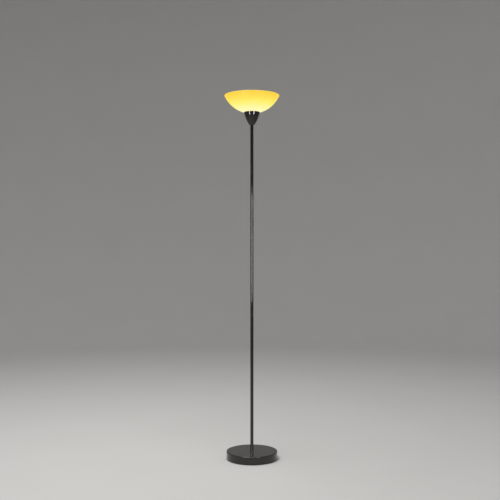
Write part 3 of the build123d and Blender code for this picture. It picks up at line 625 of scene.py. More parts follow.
# %% Mould the lampholder cap
CAP_THREAD = 5.0 * MM
CAP_NECK = 7.5 * MM
CAP_NECK_HEIGHT = 8.0 * MM
CAP_WALL = 2.0 * MM
CAP_CONE = 5.0 * MM
barrel_radius, cap_low, cap_top = span("holder_cap")
cap_shoulder = cap_low + CAP_NECK_HEIGHT + CAP_CONE
cap_line = [
    (CAP_THREAD, cap_low),
    (CAP_NECK, cap_low),
    (CAP_NECK, cap_low + CAP_NECK_HEIGHT - CAP_WALL),
    (barrel_radius, cap_shoulder),
    (barrel_radius, cap_top),
    (barrel_radius - CAP_WALL, cap_top),
    (barrel_radius - CAP_WALL, cap_shoulder + CAP_WALL / 2),
    (CAP_NECK, cap_low + CAP_NECK_HEIGHT),
    (CAP_THREAD, cap_low + CAP_NECK_HEIGHT),
]
lampholder_cap = drawn("lampholder_cap", cap_line)
with editing(lampholder_cap):
    pick("VERT", on_ring(barrel_radius, cap_shoulder))
    bpy.ops.mesh.bevel(offset=1.6 * MM, segments=5, affect="VERTICES")
spun(lampholder_cap, steps=96)
soften(lampholder_cap, 0.25 * MM)
finished(lampholder_cap, "stand", "black_plastic", "holder_cap")

# %% [markdown]
# ## Lampholder body
#
# The upper half is a barrel with flutes for the fingers, a flange that carries the bowl, and a threaded
# skirt that the ring screws down on. The barrel and flange are spun. The flutes are every other pair of
# side faces, pushed in a little: selecting them by their angle makes them even all round. The threaded
# skirt is a screw with a bore, united with the flange, so that the body stays one solid.

# %% Mould the lampholder body
FLUTES = 24
FLUTE_DEPTH = 0.45 * MM
FLUTE_ABOVE = 2.5 * MM  # left smooth under the flutes
FLUTE_BELOW = 3.0 * MM  # and over them
FLANGE = 2.0 * MM
SKIRT_THREAD = 0.6 * MM
SKIRT_PITCH = 2.5 * MM
SKIRT_RADIUS = 20.0 * MM
flange_radius, barrel_low, skirt_top = span("holder_body")
flange_top = span("seat_washer")[1]
bore = barrel_radius - CAP_WALL


def angle_of(corner):
    """Degrees round the lamp's axis, from 0 to 360."""
    return degrees(atan2(corner.y, corner.x)) % 360


def in_flute(corner, count, share):
    """True in the middle share of each of this many equal sectors."""
    sector = 360 / count
    return abs((angle_of(corner) + sector / 2) % sector - sector / 2) < share * sector / 2 + 0.01


flute_low = barrel_low + FLUTE_ABOVE
flute_high = flange_top - FLANGE - FLUTE_BELOW
barrel_line = [
    (bore, barrel_low),
    (barrel_radius, barrel_low),
    (barrel_radius, flute_low),
    (barrel_radius, flute_high),
    (barrel_radius, flange_top - FLANGE),
    (flange_radius, flange_top - FLANGE),
    (flange_radius, flange_top),
    (bore, flange_top),
]
lampholder_body = spun(drawn("lampholder_body", barrel_line), steps=4 * FLUTES)
with editing(lampholder_body):
    pick(
        "FACE",
        lambda corner: abs(hypot(corner.x, corner.y) - barrel_radius) < NEAR
        and flute_low - NEAR < corner.z < flute_high + NEAR
        and in_flute(corner, FLUTES, 0.5),
    )
    bpy.ops.mesh.extrude_region_shrink_fatten(TRANSFORM_OT_shrink_fatten={"value": -FLUTE_DEPTH})
soften(lampholder_body, 0.18 * MM)
skirt_low = flange_top - FLANGE / 2
skirt_root = SKIRT_RADIUS - SKIRT_THREAD
skirt = threaded("skirt", skirt_low, skirt_top, skirt_root, SKIRT_RADIUS, SKIRT_PITCH, BLUNT_RIDGE, sides=96)
bored(skirt, bore, skirt_low, skirt_top, sides=4 * FLUTES)
applied(lampholder_body, "BOOLEAN", object=skirt, operation="UNION", solver="EXACT")
bpy.data.objects.remove(skirt)
finished(lampholder_body, "stand", "black_plastic", "holder_body")

# %% [markdown]
# ## Ring that holds the bowl
#
# A ring screws down on the glass: a flat flange, and a collar with eighteen ribs to turn it by. It is built
# up as a potter would: a low cylinder, its top inset to the collar's size and raised, and the ribs drawn
# out of the collar's side faces. Its thread is cut with the skirt's own shape, made a hair larger, so the
# two fit with the clearance that moulded threads have.

# %% Mould the ring
RIBS = 18
RIB_HEIGHT = 1.2 * MM
RING_COLLAR = 23.0 * MM
RING_SLACK = 0.05 * MM
RING_THREAD = 0.5 * MM
ring_radius, ring_low, ring_top = span("shade_ring")
ribbed_ring = drum("ribbed_ring", ring_radius, ring_low, ring_low + FLANGE, sides=8 * RIBS)
with editing(ribbed_ring):
    pick("FACE", at_height(ring_low + FLANGE))
    bpy.ops.mesh.inset(thickness=ring_radius - RING_COLLAR)
    bpy.ops.mesh.extrude_region_move(TRANSFORM_OT_translate={"value": (0, 0, ring_top - ring_low - FLANGE)})
    pick(
        "FACE",
        lambda corner: abs(hypot(corner.x, corner.y) - RING_COLLAR) < 5 * NEAR
        and corner.z > ring_low + FLANGE - NEAR
        and in_flute(corner, RIBS, 0.25),
    )
    bpy.ops.mesh.extrude_region_shrink_fatten(TRANSFORM_OT_shrink_fatten={"value": RIB_HEIGHT})
soften(ribbed_ring, 0.25 * MM)
ring_bore = SKIRT_RADIUS + RING_SLACK
ring_crest = ring_bore + RING_THREAD
tap = threaded("tap", ring_low - MM, ring_top + MM, ring_bore, ring_crest, SKIRT_PITCH, BLUNT_RIDGE, sides=96)
cut_away(ribbed_ring, tap)
finished(ribbed_ring, "ring", "black_plastic", "shade_ring")
print("ring reaches", round(ribbed_ring.dimensions.x / MM, 2), "mm across")

# %% [markdown]
# ## Silicone seat
#
# Glass must not rest on hard plastic, so a soft silicone ring lies between them. It is one millimetre thick
# with fully rounded edges, which an outline of two half circles gives at once.

# %% Mould the silicone seat
seat_radius, seat_low, seat_top = span("seat_washer")
SEAT_BORE = 20.3 * MM
round_edge = (seat_top - seat_low) / 2
seat_line = [
    *arc((seat_radius - round_edge, seat_low + round_edge), round_edge, -90, 90, 6),
    *arc((SEAT_BORE + round_edge, seat_low + round_edge), round_edge, 90, 270, 6),
]
silicone_seat = spun(drawn("silicone_seat", seat_line), steps=96)
finished(silicone_seat, "stand", "clear_silicone", "seat_washer")

# %% [markdown]
# ## Screw shell
#
# The bulb screws into a thin brass shell with a rolled thread. Rolling bends the sheet, so its inside shows
# the same wave as its outside. That is why the skin is swept open, with a round wave for its ridge, and
# then thickened, where a machined thread would be a solid with a thread on one side only.

# %% Roll the screw shell
SHELL_INSIDE = 13.35 * MM
SHELL_WAVE = 0.65 * MM
SHELL_SHEET = 0.4 * MM
SHELL_HOLE = 9.0 * MM
EDISON_PITCH = 3.63 * MM
shell_low, shell_high = span("screw_shell")[1:]


def true_up(radius, height):
    """Puts the selected points on a circle about the lamp's axis."""
    mesh = bpy.context.edit_object.data
    shape = bmesh.from_edit_mesh(mesh)
    for corner in shape.verts:
        if corner.select:
            turn = atan2(corner.co.y, corner.co.x)
            corner.co = Vector((radius * cos(turn), radius * sin(turn), height))
    bmesh.update_edit_mesh(mesh)


def drawn_out(start_height, stops):
    """Extrudes the open edge at a height through a list of (radius, height) circles."""
    pick("EDGE", at_height(start_height))
    for radius, height in stops:
        bpy.ops.mesh.extrude_region_move(TRANSFORM_OT_translate={"value": (0, 0, 0)})
        true_up(radius, height)


shell_outer = SHELL_INSIDE + SHELL_WAVE
wave_low = shell_low + 2.5 * MM
wave_high = shell_high - 2.0 * MM
shell_wave = (SHELL_INSIDE, shell_outer, EDISON_PITCH, ROLLED_RIDGE)
screw_shell = threaded("rolled_shell", wave_low, wave_high, *shell_wave, sides=72, filled=False)
shell_mouth = [(shell_outer, shell_high - 1.0 * MM), (shell_outer, shell_high)]
shell_floor = shell_low + SHELL_SHEET
shell_foot = [(SHELL_INSIDE, wave_low - 1.0 * MM), (SHELL_INSIDE, shell_floor), (SHELL_HOLE, shell_floor)]
with editing(screw_shell):
    drawn_out(wave_high, shell_mouth)
    drawn_out(wave_low, shell_foot)
    face_out()
applied(screw_shell, "SOLIDIFY", thickness=SHELL_SHEET, offset=1)
finished(screw_shell, "stand", "brass", "screw_shell")

# %% [markdown]
# ## Bulb cap
#
# The bulb's own screw cap is rolled in the same way, from nickelled brass. Above the thread it runs into a
# plain collar that grips the plastic body, and a ring of small punch marks in that collar keeps the two
# from turning. Each mark is one face of the collar, inset and pushed in.

# %% Roll the bulb cap
CAP_CREST = 13.1 * MM
CAP_ROOT = 12.2 * MM
COLLAR = 13.0 * MM
COLLAR_HEIGHT = 5.0 * MM
CAP_SHEET = 0.3 * MM
PUNCH_MARKS = 8
bulb_cap_low, bulb_cap_high = span("bulb_cap")[1:]
collar_low = bulb_cap_high - COLLAR_HEIGHT
thread_low = bulb_cap_low + 1.2 * MM
thread_high = collar_low - 2.0 * MM
cap_wave = (CAP_ROOT, CAP_CREST, EDISON_PITCH, ROLLED_RIDGE)
bulb_cap = threaded("bulb_screw_cap", thread_low, thread_high, *cap_wave, sides=72, filled=False)
mark_low = collar_low + 1.6 * MM
mark_high = collar_low + 3.2 * MM
cap_foot = [(CAP_ROOT - 0.1 * MM, bulb_cap_low + 0.4 * MM), (CAP_ROOT - 0.7 * MM, bulb_cap_low)]
with editing(bulb_cap):
    drawn_out(thread_low, cap_foot)
    collar_rings = [(COLLAR, collar_low), (COLLAR, mark_low), (COLLAR, mark_high), (COLLAR, bulb_cap_high)]
    drawn_out(thread_high, [(CAP_ROOT, collar_low - 1.0 * MM), *collar_rings])
    pick(
        "FACE",
        lambda corner: mark_low - NEAR < corner.z < mark_high + NEAR and in_flute(corner, PUNCH_MARKS, 2 / 9),
    )
    bpy.ops.mesh.inset(thickness=0.25 * MM)
    widen(0.97, mark_low)
    face_out()
applied(bulb_cap, "SOLIDIFY", thickness=CAP_SHEET, offset=-1)
finished(bulb_cap, "bulb", "nickel_brass", "bulb_cap")

# %% [markdown]
# ## Contact and insulator
#
# Under the screw cap, a cone of black glass keeps the live contact apart from the cap. The contact is a
# brass button with a blob of solder at its middle. Both are turned shapes with soft outlines.

# %% Turn the contact and its insulator
TIP_BEND = 6.0 * MM
BUTTON_BEND = 1.1 * MM
contact_radius, tip_low, tip_high = span("bulb_contact")
button_line = [
    (0, tip_low),
    *arc((0, tip_low + TIP_BEND), TIP_BEND, -75, -62, 3),
    *arc((contact_radius - BUTTON_BEND, tip_low + 1.3 * MM), BUTTON_BEND, -60, 20, 5),
    (contact_radius - 0.2 * MM, tip_high),
    (0, tip_high),
]
contact_button = spun(drawn("contact_button", button_line, closed=False), steps=48)
finished(contact_button, "bulb", "brass", "bulb_contact")
insulator_radius, glass_low, glass_high = span("bulb_insulator")
cone_top = bulb_cap_low + 0.2 * MM
cone_line = [
    (0, glass_low),
    (5.4 * MM, glass_low),
    (7.2 * MM, glass_low + 0.9 * MM),
    (9.2 * MM, glass_low + 2.2 * MM),
    (insulator_radius - 0.4 * MM, cone_top - 0.5 * MM),
    (insulator_radius, cone_top),
    (insulator_radius, glass_high),
    (0, glass_high),
]
glass_cone = drawn("glass_cone", cone_line, closed=False)
with editing(glass_cone):
    pick("VERT", lambda corner: glass_low + NEAR < corner.z < cone_top - NEAR)
    bpy.ops.mesh.bevel(offset=0.6 * MM, segments=3, affect="VERTICES")
spun(glass_cone, steps=64)
finished(glass_cone, "bulb", "black_glass", "bulb_insulator")

# %% [markdown]
# ## Bulb body
#
# A white plastic body flares out from the cap and runs into the dome in one line. Its curve has to leave
# the cap upright and arrive in the dome's own direction. A Bezier curve is made for that: two handles give
# the directions and the points between follow.

# %% Mould the bulb body
BODY_WALL = 1.4 * MM
NECK = 12.4 * MM
BODY_START = 13.5 * MM
HANDLE = 11.0 * MM


def bezier(start, leave, arrive, end, steps):
    """Points of a curve that leaves the start towards one handle and arrives at the end from the other."""
    points = []
    corners = [Vector(corner) for corner in (start, leave, arrive, end)]
    for step in range(steps + 1):
        t = step / steps
        weights = ((1 - t) ** 3, 3 * t * (1 - t) ** 2, 3 * t**2 * (1 - t), t**3)
        points.append(tuple(sum((w * corner for w, corner in zip(weights, corners)), Vector((0, 0)))))
    return points


dome_radius, dome_low, dome_high = span("bulb_dome")
dome_height = dome_high - dome_radius
dome_angle = degrees(asin((dome_low - dome_height) / dome_radius))
mouth = (dome_radius * cos(radians(dome_angle)), dome_low)
along = (-sin(radians(dome_angle)), cos(radians(dome_angle)))
body_start = (BODY_START, bulb_cap_high)
leave = (BODY_START, bulb_cap_high + HANDLE)
arrive = (mouth[0] - HANDLE * along[0], mouth[1] - HANDLE * along[1])
flare = bezier(body_start, leave, arrive, mouth, 20)
body_line = [(NECK, collar_low + 0.5 * MM), (NECK, bulb_cap_high), *flare]
bulb_body = spun(drawn("bulb_flare", body_line, closed=False), steps=96)
applied(bulb_body, "SOLIDIFY", thickness=BODY_WALL, offset=-1, use_even_offset=True)
soften(bulb_body, 0.2 * MM)
finished(bulb_body, "bulb", "white_plastic", "bulb_body")

# %% [markdown]
# ## Bulb dome
#
# The dome is part of a ball of milky plastic that spreads the light of the chips below it. It is the one
# outline that reaches the axis, where the spin makes a whole ring of points fall together. Welding them
# closes the top.

# %% Mould the bulb dome
DOME_WALL = 1.2 * MM
dome_line = arc((0, dome_height), dome_radius, dome_angle, 90, 30)
bulb_dome = spun(drawn("milky_dome", dome_line, closed=False), steps=96)
applied(bulb_dome, "SOLIDIFY", thickness=DOME_WALL, offset=-1, use_even_offset=True)
soften(bulb_dome, 0.2 * MM)
finished(bulb_dome, "bulb", "opal_dome", "bulb_dome")

# %% [markdown]
# ## How a finish is written
#
# A finish is a material made of nodes, and nodes are sums: this much noise, less that mask, times a depth.
# Wiring every Math node by hand hides the sum. Here one small class stands for a node's output, and its
# arithmetic adds the Math nodes, so that a finish reads as the sum that it is. Every other node comes from
# one method. A value that is the same all over the surface goes straight to the shader, where it is easy to
# find.

# %% Arithmetic on node outputs
class Wire:
    """One output of a node. Arithmetic on it adds the Math node that does it."""

    def __init__(self, recipe, socket):
        self.recipe = recipe
        self.socket = socket

    def sum(self, operation, first, second):
        return self.recipe.node("Math", {"operation": operation}, {0: first, 1: second})

    def __add__(self, other):
        return self.sum("ADD", self, other)

    def __sub__(self, other):
        return self.sum("SUBTRACT", self, other)

    def __rsub__(self, other):
        return self.sum("SUBTRACT", other, self)

    def __mul__(self, other):
        return self.sum("MULTIPLY", self, other)

    __radd__ = __add__
    __rmul__ = __mul__


# %% One method for every other node
class Recipe:
    """A finish in the making: a material, its main shader, and the ways to add patterns to it."""

    def __init__(self, name, **fixed):
        self.material = bpy.data.materials.new(name)
        self.material.use_nodes = True
        self.tree = self.material.node_tree
        self.shader = self.tree.nodes["Principled BSDF"]
        self.place = self.node("TexCoord", output="Object")
        for socket, value in fixed.items():
            self.paint(socket.replace("_", " ").title().replace("Ior", "IOR"), value)

    def node(self, kind, settings=None, sockets=None, output=0):
        """Adds a node: its settings first, then the values or wires of its sockets."""
        made = self.tree.nodes.new("ShaderNode" + kind)
        for setting, value in (settings or {}).items():
            if setting == "stops":
                ramp = made.color_ramp
                while len(ramp.elements) < len(value):
                    ramp.elements.new(1)
                for element, (position, colour) in zip(ramp.elements, value):
                    element.position, element.color = position, (*colour, 1)
            else:
                setattr(made, setting, value)
        for socket, value in (sockets or {}).items():
            self.feed(made.inputs[socket], value)
        return Wire(self, made.outputs[output])

    def feed(self, socket, value):
        """Gives a socket a wire, a number, a vector or a colour."""
        if isinstance(value, Wire):
            self.tree.links.new(value.socket, socket)
        elif socket.type == "RGBA":
            socket.default_value = (*value, 1)
        else:
            socket.default_value = value

    def paint(self, socket, value):
        """Gives one of the main shader's sockets its value or wire."""
        self.feed(self.shader.inputs[socket], value)

    def grain(self, size, detail=2.0, stretch=(1, 1, 1)):
        """Soft noise in spots of about this size in metres, drawn out where the stretch is under 1."""
        place = self.place
        if stretch != (1, 1, 1):
            place = self.node("Mapping", sockets={"Vector": place, "Scale": stretch})
        return self.node("TexNoise", sockets={"Vector": place, "Scale": 1 / size, "Detail": detail})

    def cells(self, size, feature="F1", output="Distance"):
        """Distance to the nearest of scattered points, for grains, pits and flakes."""
        sockets = {"Vector": self.place, "Scale": 1 / size}
        return self.node("TexVoronoi", {"feature": feature}, sockets, output)

    def height(self):
        """Height above the floor, in metres."""
        return self.node("SeparateXYZ", sockets={0: self.place}, output="Z")

    def facing_up(self):
        """1 on a level face, 0 on an upright one or an underside."""
        normal = self.node("TexCoord", output="Normal")
        return self.between(self.node("SeparateXYZ", sockets={0: normal}, output="Z"), 0.55, 0.98)

    def between(self, value, low, high):
        """Rises smoothly from 0 to 1 as the value goes from low to high, or falls if high comes first."""
        sockets = {"Value": value, "From Min": min(low, high), "From Max": max(low, high)}
        sockets |= {"To Min": 0.0, "To Max": 1.0} if low < high else {"To Min": 1.0, "To Max": 0.0}
        return self.node("MapRange", {"interpolation_type": "SMOOTHSTEP"}, sockets)

    def blend(self, mask, first, second):
        """The first colour where the mask is 0, the second where it is 1."""
        return self.node("Mix", {"data_type": "RGBA"}, {0: mask, 6: first, 7: second}, output=2)

    def raise_by(self, pattern, depth):
        """Raises the surface by the pattern, this many metres where it is 1."""
        bump = self.node("Bump", sockets={"Height": pattern, "Distance": depth, "Strength": 1.0})
        self.paint("Normal", bump)


# %% Mix a finish as soon as it is written
finishes = {}


def mixed(recipe):
    """Makes the material that the function below it describes, and keeps it under that function's name."""
    finishes[recipe.__name__] = recipe()
    print(recipe.__name__, "takes", len(finishes[recipe.__name__].node_tree.nodes), "nodes")
    return recipe


# %% [markdown]
# ## Black lacquer
#
# Base, pole and cup are sprayed with gloss black lacquer. It is never a perfect mirror: the paint dries in
# shallow waves a few millimetres wide, hands leave a slight haze, dust settles where a face looks up, and
# the base is scuffed near the floor. Colour barely changes over it, so nearly all of this goes into
# roughness and bump.

# %% Mix the black lacquer
@mixed
def black_lacquer():
    recipe = Recipe("black_lacquer", ior=1.5, coat_roughness=0.03)
    waves = recipe.grain(4.0 * MM, detail=1.0)
    haze = recipe.between(recipe.grain(45 * MM, detail=5.0), 0.45, 0.75)
    specks = recipe.between(recipe.grain(0.8 * MM, detail=1.0), 0.66, 0.74)
    dust = recipe.facing_up() * (0.05 + 0.7 * specks)
    scuff_lines = recipe.between(recipe.grain(6 * MM, detail=6.0, stretch=(1, 1, 5)), 0.56, 0.68)
    scuffs = recipe.between(recipe.height(), 9 * MM, 3 * MM) * scuff_lines
    worn = recipe.blend(scuffs * 0.5, (0.009, 0.007, 0.006), (0.06, 0.055, 0.05))
    recipe.paint("Base Color", recipe.blend(dust * 0.45, worn, (0.34, 0.32, 0.29)))
    recipe.paint("Roughness", 0.07 + 0.14 * haze + 0.35 * dust + 0.3 * scuffs)
    recipe.paint("Coat Weight", 0.35 - 0.3 * scuffs)
    recipe.raise_by(waves, 0.002 * MM)
    return recipe.material


# %% [markdown]
# ## Glowing opal glass
#
# The lamp is lit. Light enters the glass from the bulb near the bottom of the bowl, so the glass is nearly
# white there and a deeper yellow towards the rim. Tracing that light through the glass would be slow and
# grainy. The glow is instead given to the glass as emission, whose colour follows height, with faint clouds
# where the opal is thicker. The glass's own colour is kept dark, or the studio light would wash its glow
# out.

# %% Mix the opal glass
GLOW = (
    (0.0, (0.97, 0.90, 0.46)),
    (0.21, (0.95, 0.85, 0.28)),
    (0.40, (0.93, 0.81, 0.135)),
    (0.58, (0.90, 0.72, 0.075)),
    (0.80, (0.90, 0.63, 0.04)),
    (1.0, (0.90, 0.575, 0.025)),
)


@mixed
def opal_glass():
    recipe = Recipe("opal_glass", ior=1.5, emission_strength=1.0)
    risen = recipe.node(
        "MapRange", sockets={"Value": recipe.height(), "From Min": bowl_seat, "From Max": bowl_top}
    )
    clouds = recipe.between(recipe.grain(30 * MM, detail=3.0, stretch=(1, 1, 0.5)), 0.35, 0.75)
    glow = recipe.node("ValToRGB", {"stops": GLOW}, {0: risen - 0.06 * clouds})
    recipe.paint("Emission Color", glow)
    recipe.paint("Base Color", recipe.blend(clouds, (0.19, 0.145, 0.05), (0.22, 0.17, 0.065)))
    recipe.paint("Roughness", 0.3 + 0.1 * clouds + 0.15 * recipe.facing_up() * recipe.grain(2 * MM))
    recipe.raise_by(recipe.grain(14 * MM, detail=1.0), 0.03 * MM)
    return recipe.material


@mixed
def opal_dome():
    recipe = Recipe("opal_dome", ior=1.45, emission_strength=1.3)
    risen = recipe.between(recipe.height(), dome_low, dome_low + 0.6 * dome_radius)
    recipe.paint("Emission Color", recipe.blend(risen, (0.95, 0.74, 0.36), (1.0, 0.88, 0.56)))
    recipe.paint("Base Color", recipe.blend(recipe.grain(3 * MM), (0.55, 0.52, 0.42), (0.6, 0.56, 0.46)))
    recipe.paint("Roughness", 0.3 + 0.12 * recipe.grain(8 * MM))
    recipe.raise_by(recipe.grain(0.5 * MM), 0.003 * MM)
    return recipe.material


# %% [markdown]
# ## Metals
#
# Zinc plating is a patchwork of crystals, worn dull where it was handled. Brass is warmer and stains brown
# where air got at it, and nickelled brass stains to a yellow tinge. One function lays a metal's grain, stains
# and fine scratches, and each metal gives it its own colours and scale.

# %% Mix the metals
def metal(name, clean, stained, roughness, stain_size, scratch=0.0015, flakes=0.0):
    """A bare metal: two tones, stains of this size, fine turning marks and, on zinc, crystal flakes."""
    recipe = Recipe(name, metallic=1.0)
    stains = recipe.between(recipe.grain(stain_size, detail=5.0), 0.42, 0.72)
    turned = recipe.grain(0.35 * MM, detail=2.0, stretch=(0.15, 0.15, 1))
    crystals = recipe.cells(2.5 * MM)
    recipe.paint("Base Color", recipe.blend(stains, clean, stained))
    recipe.paint("Roughness", roughness + 0.16 * stains + 0.1 * turned + flakes * crystals)
    recipe.raise_by(turned + flakes * crystals, scratch * MM)
    return recipe.material


@mixed
def zinc_steel():
    return metal("zinc_steel", (0.60, 0.61, 0.62), (0.51, 0.51, 0.49), 0.3, 12 * MM, flakes=0.12)


@mixed
def brass():
    return metal("brass", (0.82, 0.62, 0.28), (0.45, 0.30, 0.12), 0.22, 5 * MM)


@mixed
def nickel_brass():
    return metal("nickel_brass", (0.72, 0.70, 0.65), (0.55, 0.47, 0.33), 0.18, 6 * MM)


# %% [markdown]
# ## Plastics, rubber and wire
#
# Moulded parts take the grain of their mould: fine and even on the lampholder, coarser on rubber, almost
# none on a wire's sleeve. What tells them apart is how the light spreads, so each gets its own roughness,
# grain and slight change of tone, and dust shows wherever it can settle.

# %% Mix the moulded finishes
def moulded(name, tone, worn, roughness, grain_size, grain_depth, dusty=0.1):
    """A moulded material: a tone that drifts slightly, the mould's grain, and dust on level faces."""
    recipe = Recipe(name, ior=1.5)
    drift = recipe.between(recipe.grain(25 * MM, detail=4.0), 0.35, 0.75)
    grain = recipe.grain(grain_size, detail=3.0)
    dust = recipe.facing_up() * recipe.between(recipe.grain(1.2 * MM), 0.5, 0.72) * dusty
    recipe.paint("Base Color", recipe.blend(dust, recipe.blend(drift, tone, worn), (0.45, 0.43, 0.4)))
    recipe.paint("Roughness", roughness + 0.1 * drift + 0.08 * grain + 0.2 * dust)
    recipe.raise_by(grain, grain_depth * MM)
    return recipe.material


@mixed
def black_rubber():
    return moulded("black_rubber", (0.018, 0.018, 0.017), (0.04, 0.039, 0.037), 0.62, 0.7 * MM, 0.03)


@mixed
def black_plastic():
    return moulded("black_plastic", (0.014, 0.014, 0.014), (0.024, 0.023, 0.022), 0.34, 0.45 * MM, 0.012)


@mixed
def black_sheath():
    return moulded("black_sheath", (0.016, 0.016, 0.016), (0.03, 0.03, 0.029), 0.45, 1.2 * MM, 0.012)


@mixed
def brown_core():
    return moulded("brown_core", (0.17, 0.065, 0.022), (0.21, 0.085, 0.03), 0.36, 0.8 * MM, 0.004)


@mixed
def blue_core():
    return moulded("blue_core", (0.025, 0.12, 0.46), (0.04, 0.16, 0.52), 0.36, 0.8 * MM, 0.004)


@mixed
def clear_silicone():
    return moulded("clear_silicone", (0.66, 0.65, 0.6), (0.74, 0.72, 0.66), 0.42, 1.0 * MM, 0.01)


@mixed
def white_plastic():
    return moulded("white_plastic", (0.76, 0.75, 0.71), (0.82, 0.81, 0.78), 0.32, 0.6 * MM, 0.008)


# %% [markdown]
# ## Mineral parts and electronics
#
# The weight is cast concrete, with pits where air was caught and grains of sand in two tones. The contact
# block is unglazed ceramic. The boards are painted, with the faint edges of copper tracks under the paint,
# and the chips are yellow phosphor that glows.

# %% Mix the mineral finishes
@mixed
def concrete():
    recipe = Recipe("concrete", specular_ior_level=0.25)
    sand = recipe.cells(1.6 * MM, output="Color")
    pits = recipe.between(recipe.cells(7 * MM), 0.16, 0.08)
    stains = recipe.between(recipe.grain(40 * MM, detail=6.0), 0.35, 0.7)
    body = recipe.blend(stains, (0.36, 0.35, 0.32), (0.5, 0.49, 0.45))
    grey = recipe.node("RGBToBW", sockets={0: sand})
    recipe.paint("Base Color", recipe.blend(grey * 0.35, body, (0.24, 0.22, 0.19)))
    recipe.paint("Roughness", 0.78 + 0.15 * pits)
    recipe.raise_by(0.25 * recipe.grain(1.0 * MM, detail=4.0) - pits, 0.6 * MM)
    return recipe.material


@mixed
def cream_ceramic():
    recipe = Recipe("cream_ceramic", ior=1.5)
    fine = recipe.grain(0.6 * MM, detail=4.0)
    specks = recipe.between(recipe.cells(2.2 * MM), 0.12, 0.06)
    recipe.paint("Base Color", recipe.blend(specks * 0.5, (0.78, 0.73, 0.61), (0.42, 0.33, 0.22)))
    recipe.paint("Roughness", 0.5 + 0.2 * fine)
    recipe.raise_by(fine, 0.02 * MM)
    return recipe.material


@mixed
def black_glass():
    recipe = Recipe("black_glass", ior=1.52, coat_weight=0.4)
    flow = recipe.grain(3 * MM, detail=2.0)
    recipe.paint("Base Color", recipe.blend(flow, (0.006, 0.006, 0.008), (0.02, 0.018, 0.022)))
    recipe.paint("Roughness", 0.05 + 0.1 * flow)
    recipe.raise_by(flow, 0.02 * MM)
    return recipe.material


# %% Mix the electronics
def painted_board(name, paint, track, metallic):
    """A circuit board: paint over copper tracks that run in straight bands and show at their edges."""
    recipe = Recipe(name, metallic=metallic)
    tracks = {"Vector": recipe.place, "Scale": 1 / (4 * MM), "Mortar Size": 0.03}
    bands = recipe.node("TexBrick", {"offset": 0.35}, tracks, output="Fac")
    recipe.paint("Base Color", recipe.blend(bands * 0.6, paint, track))
    recipe.paint("Roughness", 0.35 + 0.15 * recipe.grain(1.5 * MM) + 0.1 * bands)
    recipe.raise_by(bands, 0.03 * MM)
    return recipe.material


@mixed
def white_board():
    return painted_board("white_board", (0.78, 0.78, 0.75), (0.6, 0.59, 0.55), 0.1)


@mixed
def green_board():
    return painted_board("green_board", (0.015, 0.13, 0.05), (0.04, 0.26, 0.1), 0.0)


@mixed
def chip_phosphor():
    recipe = Recipe("chip_phosphor", emission_strength=3.0)
    grains = recipe.cells(0.25 * MM)
    recipe.paint("Base Color", recipe.blend(grains, (0.85, 0.62, 0.08), (0.95, 0.78, 0.2)))
    recipe.paint("Emission Color", recipe.blend(grains, (1.0, 0.82, 0.42), (1.0, 0.9, 0.55)))
    recipe.paint("Roughness", 0.4 + 0.2 * grains)
    recipe.raise_by(grains, 0.02 * MM)
    return recipe.material


@mixed
def capacitor_can():
    recipe = Recipe("capacitor_can", metallic=0.4)
    sleeve = recipe.grain(1.8 * MM, detail=3.0, stretch=(1, 1, 0.3))
    recipe.paint("Base Color", recipe.blend(sleeve, (0.03, 0.04, 0.08), (0.06, 0.07, 0.12)))
    recipe.paint("Roughness", 0.28 + 0.15 * sleeve)
    recipe.raise_by(sleeve, 0.01 * MM)
    return recipe.material


# %% [markdown]
# ## Giving every piece its finish
#
# The record names a finish for each part of the frame, and each new piece has said whose finish it takes.
# One loop can therefore finish the whole lamp, with nothing forgotten: a piece without a recipe would stop
# the script.

# %% Finish the lamp
part_finish = {part["node"]: part["material_slot"] for part in frame["record"]["subparts"]}
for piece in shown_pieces():
    finish = finishes[piece.get("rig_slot") or part_finish[piece.name]]
    if not piece.material_slots:
        piece.data.materials.append(finish)
    for place in piece.material_slots:
        place.material = finish

# %% [markdown]
# ## A pale studio
#
# The lamp stands in a studio sweep: a pale floor that curves up into a pale wall all round, so that no edge
# shows behind it from any side. A flat floor would end in a hard horizon across the middle of the picture.
# The wall is left a little darker than the floor, because a glowing bowl needs something dimmer behind it
# to look lit.

# %% Lay the sweep
SWEEP_RADIUS = 7.0
SWEEP_CORNER = 2.5
SWEEP_TOP = 5.0
sweep_line = [
    (0, 0),
    (1.5, 0),
    *arc((SWEEP_RADIUS - SWEEP_CORNER, SWEEP_CORNER), SWEEP_CORNER, -90, 0, 16),
    (SWEEP_RADIUS, SWEEP_TOP),
]
sweep = spun(drawn("sweep", sweep_line, closed=False), steps=96)
alone(sweep)
bpy.ops.object.shade_smooth()
sweep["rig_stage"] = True
paper = Recipe("pale_paper", specular_ior_level=0.2)
fibres = paper.grain(0.4, detail=6.0)
paper.paint("Base Color", paper.blend(fibres, (0.60, 0.59, 0.57), (0.63, 0.62, 0.60)))
paper.paint("Roughness", 0.8 + 0.15 * fibres)
sweep.data.materials.append(paper.material)
print("the sweep is", 2 * SWEEP_RADIUS, "m across and", SWEEP_TOP, "m high")

# %% [markdown]
# ## Light
#
# Black gloss shows only what it reflects, so the lights are what shapes it. A large soft box overhead gives
# the floor its light and the base its shadow. Two tall strip boxes, left and right of the camera, draw the
# two fine highlights that run down the pole and cup. They show only in gloss and light nothing matt, so
# they leave no pools on the floor. No light is seen directly.

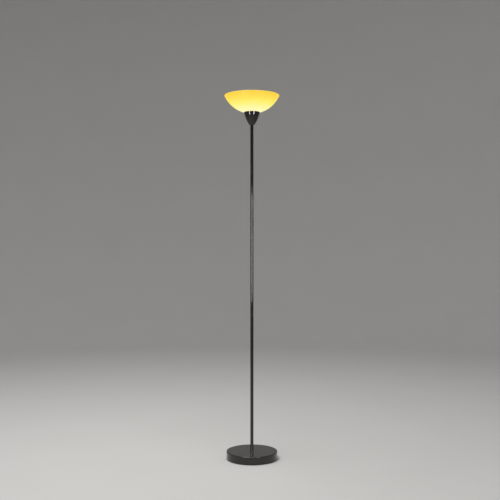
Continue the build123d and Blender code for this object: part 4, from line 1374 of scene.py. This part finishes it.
# %% Hang the lights
def soft_box(name, size, place, aim, power, colour=(1, 1, 1)):
    """A rectangular soft box of this width and height that faces a point."""
    data = bpy.data.lights.new(name, "AREA")
    data.shape, data.size, data.size_y = "RECTANGLE", *size
    data.energy, data.color = power, colour
    light = bpy.data.objects.new(name, data)
    bpy.context.scene.collection.objects.link(light)
    light.location = place
    light.rotation_euler = (Vector(aim) - Vector(place)).to_track_quat("-Z", "Y").to_euler()
    light.visible_camera = False
    return light


soft_box("overhead", (2.6, 2.6), (-0.9, -0.8, 4.2), (0, 0, 0.3), 150)
STRIP_DISTANCE = 2.7
STRIP_HEIGHT = 1.06
for name, turn in (("left", -34), ("right", 31)):
    aside = STRIP_DISTANCE * sin(radians(turn))
    forward = -STRIP_DISTANCE * cos(radians(turn))
    strip = soft_box(f"strip_{name}", (0.26, 0.9), (aside, forward, STRIP_HEIGHT), (0, 0, STRIP_HEIGHT), 22)
    strip.visible_diffuse = False
    print(strip.name, "stands", STRIP_DISTANCE, "m from the pole, turned by", turn, "degrees")
world = bpy.data.worlds.new("studio")
bpy.context.scene.world = world
world.use_nodes = True
world.node_tree.nodes["Background"].inputs["Color"].default_value = (0.95, 0.97, 1.0, 1)
world.node_tree.nodes["Background"].inputs["Strength"].default_value = 0.3

# %% [markdown]
# ## Camera
#
# The camera stands level, a little above the middle of the pole and nearly four metres away, with a lens
# slightly longer than normal. From there the bowl is seen from just below its rim, and the base from above.

# %% Set up the camera
CAMERA_DISTANCE = 3.9
CAMERA_HEIGHT = 1.034
CAMERA_ASIDE = -0.0094
camera_data = bpy.data.cameras.new("camera")
camera_data.lens = 56.65
camera_data.sensor_width = 36
camera = bpy.data.objects.new("camera", camera_data)
bpy.context.scene.collection.objects.link(camera)
camera.location = (CAMERA_ASIDE, -CAMERA_DISTANCE, CAMERA_HEIGHT)
camera.rotation_euler = (pi / 2, 0, 0)
bpy.context.scene.camera = camera
bpy.context.scene.view_settings.view_transform = "Standard"
print("the camera stands", CAMERA_DISTANCE, "m away and", CAMERA_HEIGHT, "m up")

# %% [markdown]
# ## The size
#
# The finished model is meant to be neither larger nor smaller than the engineering model. Its box is printed
# next to the frame's, so that the two can be compared after each run.

# %% Print the size
visual_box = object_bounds()
for label, (low, high) in (("frame", cad_box), ("model", visual_box)):
    print(label, [round(side / MM, 1) for side in high - low], "mm")
